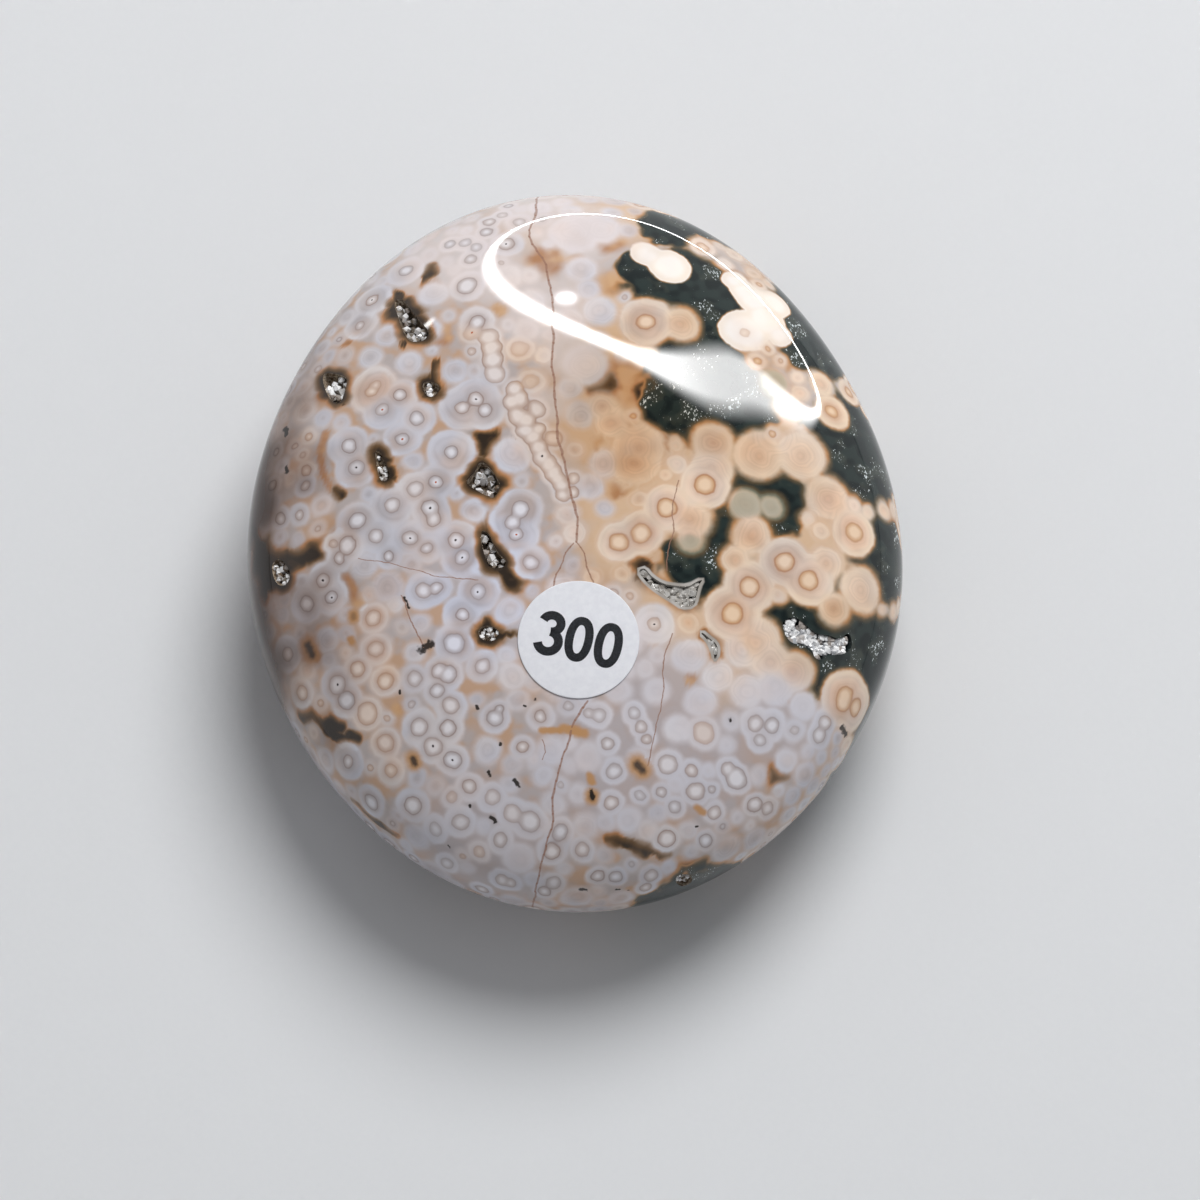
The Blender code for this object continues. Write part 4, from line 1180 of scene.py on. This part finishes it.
def with_gaps(wiring, place, colour, orbs, tints):
    """The ground between the shells: pale chalcedony, and in places amber, brown or green jasper.
    Brown and green are lighter along the shells and darken inwards, as they get deeper there, and
    the green has bright specks. The ground is brown round each pocket's mouth too, but not round
    one with white crystals, and one with grey crystals has a band of grey quartz there."""
    beyond = wiring.math("DIVIDE", orbs.to_shell, wiring.smooth(orbs.soft, 0.0, 0.8, 0.25, 1.1))
    cloud = wiring.noise(place, 0.35, 2.0)["Fac"]
    ragged = wiring.noise(place, 0.8, 0.0)["Fac"]
    pale = wiring.blend(wiring.smooth(cloud, 0.4, 0.62), srgb(182, 171, 168), srgb(192, 158, 132))
    pale = wiring.blend(tints.tan, pale, srgb(214, 182, 151))
    # Painted light in part: pale ground lighter high on the face, darker and bluer low on it
    milky_and_toplit = wiring.blend(tints.low, srgb(212, 202, 200), srgb(182, 173, 175))
    pale = wiring.blend(wiring.times(tints.pale, 0.85), pale, milky_and_toplit)
    colour = wiring.blend(wiring.smooth(beyond, -0.5, 0.5), colour, pale)
    wander = wiring.smooth(ragged, 0.3, 0.7, -0.12, 0.12)

    def depth(tint, start, end, inner, outer):
        """How deep the tinted ground is, by the tint's share and the distance from the shells."""
        share = wiring.smooth(wiring.plus(tint, wander), start, end)
        return wiring.times(share, wiring.smooth(beyond, inner, outer))

    amber = wiring.blend(wiring.smooth(cloud, 0.35, 0.65), srgb(174, 122, 80), srgb(206, 164, 122))
    colour = wiring.blend(depth(tints.amber, 0.0, 1.3, -0.8, 0.8), colour, amber)

    distance, grey, white = wiring.split(wiring.attribute("pocket_rims"))
    mouth = wiring.plus(distance, wiring.smooth(cloud, 0.3, 0.7, -0.3, 0.3))
    rim = wiring.math("SUBTRACT", wiring.smooth(mouth, 1.3, -0.3), white, clamp=True)
    rim = wiring.times(rim, wiring.smooth(grey, 0.0, 1.0, 1.0, 0.5))
    browned = wiring.math("MAXIMUM", depth(tints.brown, 0.0, 0.95, -0.6, 1.4), rim)
    rusty = wiring.smooth(cloud, 0.35, 0.6)
    halo = wiring.blend(rusty, srgb(160, 138, 120), srgb(182, 130, 88))
    colour = stained(wiring, colour, browned, halo, srgb(106, 80, 54), srgb(50, 40, 31))

    greened = depth(tints.green, 0.05, 0.6, -0.5, 0.95)
    halo = wiring.blend(rusty, srgb(160, 144, 124), srgb(186, 136, 90))
    halo = wiring.blend(wiring.smooth(orbs.soft, 0.8, 1.0), halo, srgb(126, 126, 108))
    moss = wiring.blend(wiring.smooth(ragged, 0.35, 0.65), srgb(20, 30, 30), srgb(38, 49, 47))
    moss = wiring.blend(wiring.smooth(cloud, 0.5, 0.62, 0.0, 0.4), moss, srgb(76, 80, 70))
    colour = stained(wiring, colour, greened, halo, srgb(88, 76, 56), moss)

    grains = wiring.noise(wiring.vector("MULTIPLY", place, (1.0, 0.55, 1.0)), 5.0, 2.0, 0.7)["Fac"]
    in_clouds = wiring.smooth(cloud, 0.45, 0.65, -0.12, 0.05)
    specked = wiring.plus(grains, in_clouds, wiring.smooth(tints.specks, 0.1, 0.7, 0.0, 0.06))
    glint = wiring.times(wiring.smooth(specked, 0.66, 0.72), wiring.smooth(greened, 0.6, 0.9))
    colour = wiring.blend(glint, colour, srgb(214, 222, 224))

    band = wiring.blend(wiring.smooth(ragged, 0.3, 0.7), srgb(168, 162, 155), srgb(190, 186, 181))
    return wiring.blend(wiring.times(wiring.smooth(distance, 0.4, 0.2), grey), colour, band)


def with_washes(wiring, place, colour):
    """The slow washes of colour, each as a multiple of the colour that fades with the distance."""
    for middle, radius, multiple in WASHES:
        share = wiring.smooth(wiring.vector("DISTANCE", place, middle), radius, 0.4 * radius)
        colour = wiring.blend(share, colour, wiring.dyed(colour, (*multiple, 1.0)))
    return colour


def with_strokes(wiring, moved, colour):
    """Seams, cracks, flecks and stains drawn over the orbs, by their distance in half widths. A
    wide stain is dark in its middle, and a fleck's edge is ragged."""
    group = stroke_group()
    crumbs = wiring.smooth(wiring.noise(moved, 2.2, 1.0)["Fac"], 0.3, 0.7, -0.4, 0.4)
    for i in range(NEAREST_STROKES):
        start, end, form = (wiring.attribute(f"stroke_{i}_{part}") for part in ("start", "end", "form"))
        distance = wiring.group(group, Place=moved, Start=start, End=end)["Distance"]
        half_width, strength, black = wiring.split(form)
        ragged = wiring.times(crumbs, wiring.math("POWER", black, 3.0))
        out = wiring.plus(wiring.math("DIVIDE", distance, half_width), ragged)
        unlike_stain = wiring.math("ABSOLUTE", wiring.math("SUBTRACT", black, STAIN_BLACK))
        edge = wiring.smooth(unlike_stain, 0.0, 0.5, 1.9, 1.4)
        share = wiring.times(wiring.smooth(out, edge, 0.5), strength)
        deep = wiring.times(wiring.smooth(out, 0.85, 0.1), wiring.smooth(half_width, 0.42, 0.6))
        stain = wiring.blend(deep, srgb(190, 144, 98), srgb(74, 55, 38))
        ink = wiring.blend(wiring.smooth(black, SEAM_BLACK, STAIN_BLACK), srgb(150, 112, 94), stain)
        ink = wiring.blend(wiring.smooth(black, STAIN_BLACK, FLECK_BLACK), ink, srgb(40, 35, 30))
        colour = wiring.blend(share, colour, ink)
    return colour


def with_smoky_and_shaded_flank(wiring, place, colour):
    """The left flank, greyer and darker towards its edge: partly the stone's own smokier material and
    partly painted shade, where the flank turns away from the light.
    """
    wander = wiring.smooth(wiring.noise(place, 0.12, 1.0)["Fac"], 0.3, 0.7, -3.0, 3.0)
    shifted = wiring.plus(wiring.split(place)[0], wander)
    # Two darkenings, first the flank and then its outer rim: painted shade together with smokier stone
    for start, end, smoke_and_shade in ((-22.0, -31.0, (172, 154, 142)), (-28.5, -33.5, (124, 106, 96))):
        dark = wiring.dyed(colour, srgb(*smoke_and_shade))
        colour = wiring.blend(wiring.smooth(shifted, start, end), colour, dark)
    return colour


def pocket_wall_material():
    """The rough inside of a pocket, dark brown with pale quartz grains, but pale grey behind grey
    crystals and dark green behind white ones."""
    material, wiring, shader = new_material("pocket wall", Roughness=0.4, IOR=1.54)
    grains = wiring.noise(wiring.place(), 3.5, 3.0, 0.6)["Fac"]
    _, grey, white = wiring.split(wiring.attribute("pocket_rims"))
    colour = wiring.blend(wiring.smooth(grains, 0.4, 0.62), srgb(96, 76, 56), srgb(186, 172, 154))
    colour = wiring.blend(grey, colour, srgb(184, 180, 174))
    colour = wiring.blend(white, colour, srgb(34, 42, 42))
    wiring.feed(shader["Base Color"], colour)
    wiring.feed(shader["Normal"], wiring.bump(grains, 0.8, 0.15))
    return material


def quartz_material(name):
    """Small quartz crystals: facets painted at random between a shaded and a silvery colour, a painted
    sparkle, some painted white as glare, a painted highlight, and some stained brown.
    """
    shaded, painted_silvery, contrast = QUARTZES[name]
    material, wiring, shader = new_material(name, Roughness=0.12, IOR=1.55)
    shade, stain, painted_glare = wiring.split(wiring.attribute("facet"))
    # Painted light: facets painted dark or silvery at random, and some painted white, as if they caught the
    # lamps
    colour = wiring.blend(wiring.smooth(shade, 0.3, 0.6), srgb(*shaded), srgb(*painted_silvery))
    colour = wiring.blend(wiring.smooth(painted_glare, 0.58, 0.66, 0.0, contrast), colour, srgb(255, 255, 255))
    stain = wiring.smooth(stain, 0.72, 0.85, 0.0, 0.7 * contrast)
    colour = wiring.blend(stain, colour, srgb(110, 84, 58))
    haze = wiring.noise(wiring.place(), 6.0, 1.0)["Fac"]
    colour = wiring.blend(wiring.smooth(haze, 0.3, 0.8, 0.0, 0.2), colour, srgb(160, 158, 156))
    wiring.feed(shader["Base Color"], colour)
    return material


def paper_material():
    """Matt coated paper with a faint mottle."""
    material, wiring, shader = new_material("sticker paper", Roughness=0.5)
    place = wiring.place()
    mottle = wiring.noise(place, 1.6, 4.0, 0.6)["Fac"]
    colour = wiring.blend(wiring.smooth(mottle, 0.3, 0.7), srgb(226, 227, 233), srgb(233, 234, 239))
    wiring.feed(shader["Base Color"], colour)
    wiring.feed(shader["Normal"], wiring.bump(wiring.noise(place, 9.0, 2.0)["Fac"], 0.15, 0.02))
    return material


def ink_material():
    """Black print, a little uneven."""
    material, wiring, shader = new_material("printed ink", Roughness=0.42)
    mottle = wiring.noise(wiring.place(), 5.0, 3.0)["Fac"]
    colour = wiring.blend(wiring.smooth(mottle, 0.35, 0.75), srgb(20, 21, 24), srgb(42, 44, 50))
    wiring.feed(shader["Base Color"], colour)
    return material


# Crystals


def crystal_bed(pocket, step, rng):
    """Where the crystals of a pocket stand: a jittered triangle lattice kept inside the mouth, on
    a bed that falls away from the wall to the floor."""
    reach = pocket.reach + step
    rows = np.arange(-reach, reach, step * math.sqrt(3) / 2)
    x, y = np.meshgrid(np.arange(-reach, reach, step), rows)
    x = x + step / 2 * (np.arange(len(rows)) % 2)[:, None]
    flat = np.stack((x, y), axis=-1).reshape(-1, 2)
    flat = flat + rng.uniform(-0.3, 0.3, flat.shape) * step
    inside = -outline_distance(flat, pocket.mouth)
    kept = (inside > CRYSTAL_CLEAR) & (rng.random(len(flat)) < BED_FULL)
    fallen = np.clip(inside[kept] / BED_SLOPE, 0, 1) ** 0.7
    return flat[kept], -pocket.depth * (pocket.sunk + (BED_FLOOR - pocket.sunk) * fallen)


def crystals(pocket, step, stout, rng):
    """Six-sided prisms with six-sided points, as whole arrays. Each is a foot point, a ring at
    the foot, a ring at the shoulder and a tip, along an axis that leans a random way. First come
    every prism's twelve triangles, then every prism's six sides."""
    flat, height = crystal_bed(pocket, step, rng)
    count = len(flat)
    foot = pocket.solid(flat, height - CRYSTAL_ROOT)
    lean = rng.normal(0, CRYSTAL_LEAN, (count, 2))
    axis = unit(pocket.up + lean[:, :1] * pocket.east + lean[:, 1:] * pocket.north)
    first = unit(np.cross(axis, pocket.east + 0.3 * pocket.north))
    second = np.cross(axis, first)
    width = stout * step * rng.uniform(0.38, 0.72, count)
    to_mouth = CRYSTAL_ROOT - height - CRYSTAL_CLEAR
    length = np.minimum(to_mouth, width * rng.uniform(2.0, 3.4, count))
    length = np.maximum(length, CRYSTAL_LEAST)
    turn = rng.uniform(0, math.pi / 3, count)[:, None] + np.arange(6) * math.pi / 3
    radial = np.cos(turn)[..., None] * first[:, None] + np.sin(turn)[..., None] * second[:, None]
    girth = width[:, None, None] * rng.uniform(0.8, 1.15, (count, 6, 1))
    shoulder = (rng.uniform(0.5, 0.72, (count, 6, 1)) * length[:, None, None]) * axis[:, None]
    tip = length[:, None] * axis + 0.2 * width[:, None] * radial[:, 0]
    points = np.concatenate((
        (foot - 0.05 * axis)[:, None],
        foot[:, None] + 0.85 * girth * radial,
        foot[:, None] + shoulder + girth * radial,
        (foot + tip)[:, None],
    ), axis=1)
    ring = np.arange(6)
    after = (ring + 1) % 6
    low, high, top = 1 + ring, 7 + ring, 13 + 0 * ring
    triangles = np.vstack((
        np.stack((0 * ring, 1 + after, low), axis=-1),
        np.stack((high, 7 + after, top), axis=-1),
    ))
    quads = np.stack((low, 1 + after, 7 + after, high), axis=-1)
    start = (14 * np.arange(count))[:, None, None]
    faces = (triangles + start).reshape(-1, 3).tolist() + (quads + start).reshape(-1, 4).tolist()
    return points.reshape(-1, 3), faces, count


def make_druse(name, pocket, quartzes, rng):
    """The crystals of one pocket. Each facet has a painted shade and a painted glare, the light and dark of
    a painted sparkle, partly its crystal's own, and a stain that is the crystal's."""
    step, stout, quartz = CRYSTALS[pocket.kind]
    points, faces, count = crystals(pocket, step, stout, rng)
    druse = make_piece(name, points, faces, quartzes[quartz])
    mesh = druse.data
    mesh.polygons.foreach_set("use_smooth", np.zeros(len(faces), bool))
    own = rng.random((count, 3))
    own = np.vstack([np.repeat(own, sides, axis=0) for sides in (12, 6)])
    facets = 0.45 * own + 0.55 * rng.random(own.shape)
    facets[:, 1] = own[:, 1]
    store(mesh, "facet", facets)
    return druse


# The sticker


def on_sticker(flat, height):
    """Points over the face from flat points round the sticker's middle and heights above it."""
    middle = seen_points(STICKER_SEEN)[0]
    east, north, _ = touching_plane(middle)
    spots = settled(middle + flat[..., :1] * east + flat[..., 1:] * north)
    return spots + np.asarray(height)[..., None] * outward(spots)


def make_sticker(material):
    """A turned profile laid on the face: out along the underside, round the cut edge and back in
    along the top."""
    low, high = STICKER_LIFT, STICKER_LIFT + STICKER_THICKNESS
    inner = np.linspace(0.02, 0.97, 14)
    out = np.concatenate((inner, [0.99, 1.0, 1.0, 0.99], inner[::-1])) * STICKER_RADIUS
    edge = (low, low + CUT_EDGE, high - CUT_EDGE, high)
    lift = np.concatenate((np.full(len(inner), low), edge, np.full(len(inner), high)))
    angle = np.arange(STICKER_TURNS) * 2 * math.pi / STICKER_TURNS
    flat = np.stack((np.outer(out, np.cos(angle)), np.outer(out, np.sin(angle))), axis=-1)
    points = on_sticker(flat, np.repeat(lift[:, None], STICKER_TURNS, axis=1))
    numbers = ring_numbers(len(out), STICKER_TURNS)
    faces = grid_faces(numbers).tolist() + end_caps(numbers)
    sticker = make_piece("paper_dot", points.reshape(-1, 3), faces, material)
    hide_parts("number_sticker")


def zero_stroke():
    """A nought: an outer and an inner oval, as pairs of points side by side."""
    angle = np.linspace(0, 2 * math.pi, 49)[:-1]
    ring = np.stack((np.cos(angle), np.sin(angle)), axis=-1)
    power = np.abs(ring) ** 0.9 * np.sign(ring)
    return power * (0.5, 1.4), power * (1.3, 2.2), True


def bowl(centre, reach, start, end):
    """A bowl of a three: an arc widened to both sides."""
    angle = np.radians(np.linspace(start, end, 24))
    line = np.stack((reach[0] * np.cos(angle), centre + reach[1] * np.sin(angle)), axis=-1)
    way = unit(np.gradient(line, axis=0))
    side = np.stack((way[:, 1], -way[:, 0]), axis=-1) * PEN_HALF_WIDTH
    return line - side, line + side, False


def make_number(material):
    """The number 300: each stroke a thin slab between its two edges, laid on the paper."""
    upper = bowl(0.98, (0.86, 0.8), 165, -88)
    lower = bowl(-0.8, (0.98, 0.97), 88, -165)
    nought = zero_stroke()
    strokes = ((upper, -2.75), (lower, -2.75), (nought, 0.05), (nought, 2.85))
    paper_top = STICKER_LIFT + STICKER_THICKNESS
    low, high = paper_top - INK_SUNK, paper_top + INK_PROUD
    turn = np.array((
        (math.cos(NUMBER_TURN), math.sin(NUMBER_TURN)),
        (-math.sin(NUMBER_TURN), math.cos(NUMBER_TURN)),
    ))
    points, faces, first = [], [], 0
    for (inner, outer, closed), across in strokes:
        ring = NUMBER_SCALE * (np.stack((inner, outer, outer, inner), axis=1) + (across, 0.0))
        lift = np.tile((low, low, high, high), (len(ring), 1))
        points.append(on_sticker(ring @ turn, lift).reshape(-1, 3))
        numbers = ring_numbers(len(ring), 4, first)
        if closed:
            numbers = np.vstack((numbers, numbers[:1]))
        else:
            faces += [cap[::-1] for cap in end_caps(numbers)]
        faces += grid_faces(numbers)[:, ::-1].tolist()
        first += len(ring) * 4
    number = make_piece("printed_number", np.vstack(points), faces, material)
    number.data.set_sharp_from_angle(angle=math.radians(40))


# The stone's own piece


def make_stone(pockets, materials):
    """The stone with its pockets cut, and everything that its material reads kept on it."""
    points, faces = stone_grid()
    stone = make_piece("jasper_stone", points, faces.tolist(), materials[0])
    mesh = cut_pockets(stone, pockets, materials)
    middles = mesh_vectors(mesh.polygons, "center")
    walls = (depth_share(middles) < SKIN_SHARE) & (middles[:, 2] > FLAT_SPOT_LEVEL)
    mesh.polygons.foreach_set("material_index", walls)
    mesh.set_sharp_from_angle(angle=math.radians(30))
    rng = np.random.default_rng(FILL_SEED)
    places = tint_places(points, rng)
    gaps = [places[name] * (1, 1, 1, share) for name, share in GAP_SHARES.items()]
    mouths = [(*pocket.middle, pocket.reach + MOUTH_ROOM) for pocket in pockets]
    orbs = fill_with_orbs(face_orbs(), np.vstack((*gaps, mouths)), points, rng)
    store_nearest_orbs(mesh, middles, orbs)
    store_nearest_strokes(mesh, middles, face_strokes())
    corners = mesh_vectors(mesh.vertices, "co")
    store_tints(mesh, corners, places)
    store_pocket_rims(mesh, corners, pockets)
    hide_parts("stone")


# Stage, lights and camera


def look_direction(from_eye, right):
    """A direction turned from_eye round from the line of sight, up the look and to the right."""
    sideways = math.cos(right) * UP_THE_LOOK + math.sin(right) * ACROSS_THE_LOOK
    return math.cos(from_eye) * TOWARDS_EYE + math.sin(from_eye) * sideways


def mirror_direction(seen):
    """Where a line of sight goes after the stone reflects it at a seen point."""
    normal = outward(seen_points(seen))[0]
    return 2 * (normal @ TOWARDS_EYE) * normal - TOWARDS_EYE


def lamp_material(name, strength):
    """Light whose strength at each point is the mesh's glow."""
    material = bpy.data.materials.new(name)
    material.use_nodes = True
    wiring = Wiring(material.node_tree)
    wiring.tree.nodes.clear()
    material.cycles.emission_sampling = "NONE"
    light = wiring.add("ShaderNodeEmission")
    glow = wiring.add("ShaderNodeAttribute", attribute_name="glow").outputs["Fac"]
    wiring.feed(light.inputs["Strength"], wiring.times(glow, strength))
    wiring.add("ShaderNodeOutputMaterial", light.outputs[0])
    return material


def make_lamp(name, towards, offsets, glows, strength):
    """A flat glowing disc or ring that faces the stone, shown only in reflections. offsets holds
    the angles out from its middle, ring by ring, at each step of turn; glows goes with them."""
    turns = offsets.shape[1]
    first = unit(TOWARDS_EYE - (TOWARDS_EYE @ towards) * towards)
    second = np.cross(towards, first)
    angle = np.arange(turns) * 2 * math.pi / turns
    ring = np.cos(angle)[:, None] * first + np.sin(angle)[:, None] * second
    points = WIDEST_LEVEL + LAMP_AWAY * towards + LAMP_AWAY * np.tan(offsets)[..., None] * ring
    faces = grid_faces(ring_numbers(*offsets.shape)).tolist()
    lamp = make_piece(name, points.reshape(-1, 3), faces, lamp_material(name, strength), body=None)
    glow = lamp.data.attributes.new("glow", "FLOAT", "POINT")
    glow.data.foreach_set("value", np.float32(np.broadcast_to(glows, offsets.shape)).ravel())
    lamp.visible_camera = False
    lamp.visible_diffuse = False
    lamp.visible_shadow = False


def swell(angle, centre, width, power=2):
    """1 at the centre and less away from it, both in degrees round the ring."""
    away = (np.degrees(angle) - centre + 180) % 360 - 180
    return np.exp(-np.abs(away / width) ** power)


def make_ring_lamp():
    """A ring seen close up: wide and dim on the side towards the eye, narrow and bright to the
    left, thin on the far side. Angles run from the side towards the eye to the right."""
    angle = np.arange(LAMP_TURNS) * 2 * math.pi / LAMP_TURNS
    radius = LAMP_RADIUS - 0.75 * (1 + np.cos(angle))
    radius = radius - 4.5 * swell(angle, 38, 28) + 4.0 * swell(angle, 105, 30)
    dim = swell(angle, 38, 44, 4)
    tube = 0.3 + 2.2 * swell(angle, 34, 36, 4) + 0.4 * swell(angle, -30, 40)
    skirt = 0.3 + 0.3 * tube + 1.8 * dim + 1.2 * swell(angle, -70, 45)
    shares = np.array((0.0, 0.25, 0.5, 0.75, 1.0))[:, None]
    outer = tube + (1 - shares[:4]) * skirt
    offsets = np.radians(radius + np.vstack((-outer, -tube, tube, outer[::-1])))
    glows = np.vstack((shares, shares[::-1])) ** (3.5 - 2.0 * dim) * (1 - 0.62 * dim)
    make_lamp("ring_lamp", look_direction(LAMP_FROM_EYE, LAMP_RIGHT), offsets, glows, LAMP_STRENGTH)


def make_glint(name, seen, half_width, strength):
    """A small lamp that shows at one place on the face."""
    offsets = np.repeat(np.array((0.001, 0.4, 0.7, 1.0))[:, None], GLINT_TURNS, axis=1) * half_width
    glows = np.array((1.0, 0.6, 0.1, 0.0))[:, None]
    make_lamp(name, mirror_direction(seen), offsets, glows, strength)


def make_key_light():
    """A soft round light from the upper right, which reflections don't show."""
    data = bpy.data.lights.new("soft_key", "AREA")
    data.shape = "DISK"
    data.size = KEY_WIDTH * MM
    data.energy = KEY_POWER
    towards = look_direction(KEY_FROM_EYE, KEY_RIGHT)
    light = bpy.data.objects.new("soft_key", data)
    light.location = (WIDEST_LEVEL + KEY_AWAY * towards) * MM
    light.rotation_mode = "QUATERNION"
    light.rotation_quaternion = (-Vector(towards)).to_track_quat("-Z", "Y")
    light.visible_glossy = False
    bpy.context.scene.collection.objects.link(light)


def make_world():
    """A pale even room. Reflections see it darker high up, round the camera."""
    world = bpy.data.worlds.new("pale room")
    world.use_nodes = True
    bpy.context.scene.world = world
    wiring = Wiring(world.node_tree)
    background = world.node_tree.nodes["Background"]
    height = wiring.split(wiring.add("ShaderNodeTexCoord").outputs["Generated"])[2]
    mirrored = wiring.add("ShaderNodeLightPath").outputs["Is Glossy Ray"]
    high = wiring.smooth(height, 0.35, 0.85)
    reflected = wiring.blend(high, (0.62, 0.62, 0.63, 1.0), (0.12, 0.12, 0.13, 1.0))
    colour = wiring.blend(mirrored, (0.29, 0.293, 0.3, 1.0), reflected)
    wiring.feed(background.inputs["Color"], colour)


def make_floor():
    """A wide pale floor under the flat spot, hardly mottled."""
    material, wiring, shader = new_material("pale floor", Roughness=0.7)
    tone = wiring.noise(wiring.place(), 0.004, 2.0)["Fac"]
    colour = wiring.blend(tone, srgb(222, 223, 225), srgb(226, 228, 230))
    wiring.feed(shader["Base Color"], colour)
    corners = np.array(((-1, -1, 0), (1, -1, 0), (1, 1, 0), (-1, 1, 0))) * FLOOR_REACH
    floor = make_piece("floor", corners, [[0, 1, 2, 3]], material, body=None)


def make_camera():
    """Looks along the line of sight from far off, so that the stone shows almost undistorted."""
    data = bpy.data.cameras.new("camera")
    data.sensor_width = 36.0
    data.lens = data.sensor_width * CAMERA_AWAY / FRAME_ACROSS
    data.clip_start, data.clip_end = 0.01, 20.0
    camera = bpy.data.objects.new("camera", data)
    camera.location = (in_the_look(FRAME_MIDDLE)[0] + CAMERA_AWAY * TOWARDS_EYE) * MM
    camera.rotation_euler = (LOOK_TILT, 0.0, 0.0)
    bpy.context.scene.collection.objects.link(camera)
    bpy.context.scene.camera = camera


def main():
    bpy.context.scene.view_settings.view_transform = "Standard"
    materials = jasper_material(), pocket_wall_material()
    quartzes = {name: quartz_material(name) for name in QUARTZES}
    pockets = {name: Pocket(*form) for name, form in POCKETS.items()}
    make_stone(list(pockets.values()), materials)
    rng = np.random.default_rng(POCKET_SEED)
    for name, pocket in pockets.items():
        druse = make_druse(f"druse_{name}", pocket, quartzes, rng)
        if f"crust_{name}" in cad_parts:
            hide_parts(f"crust_{name}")
    make_sticker(paper_material())
    make_number(ink_material())
    make_world()
    make_floor()
    make_ring_lamp()
    make_key_light()
    for name, form in GLINTS.items():
        make_glint(name, *form)
    make_camera()


main()
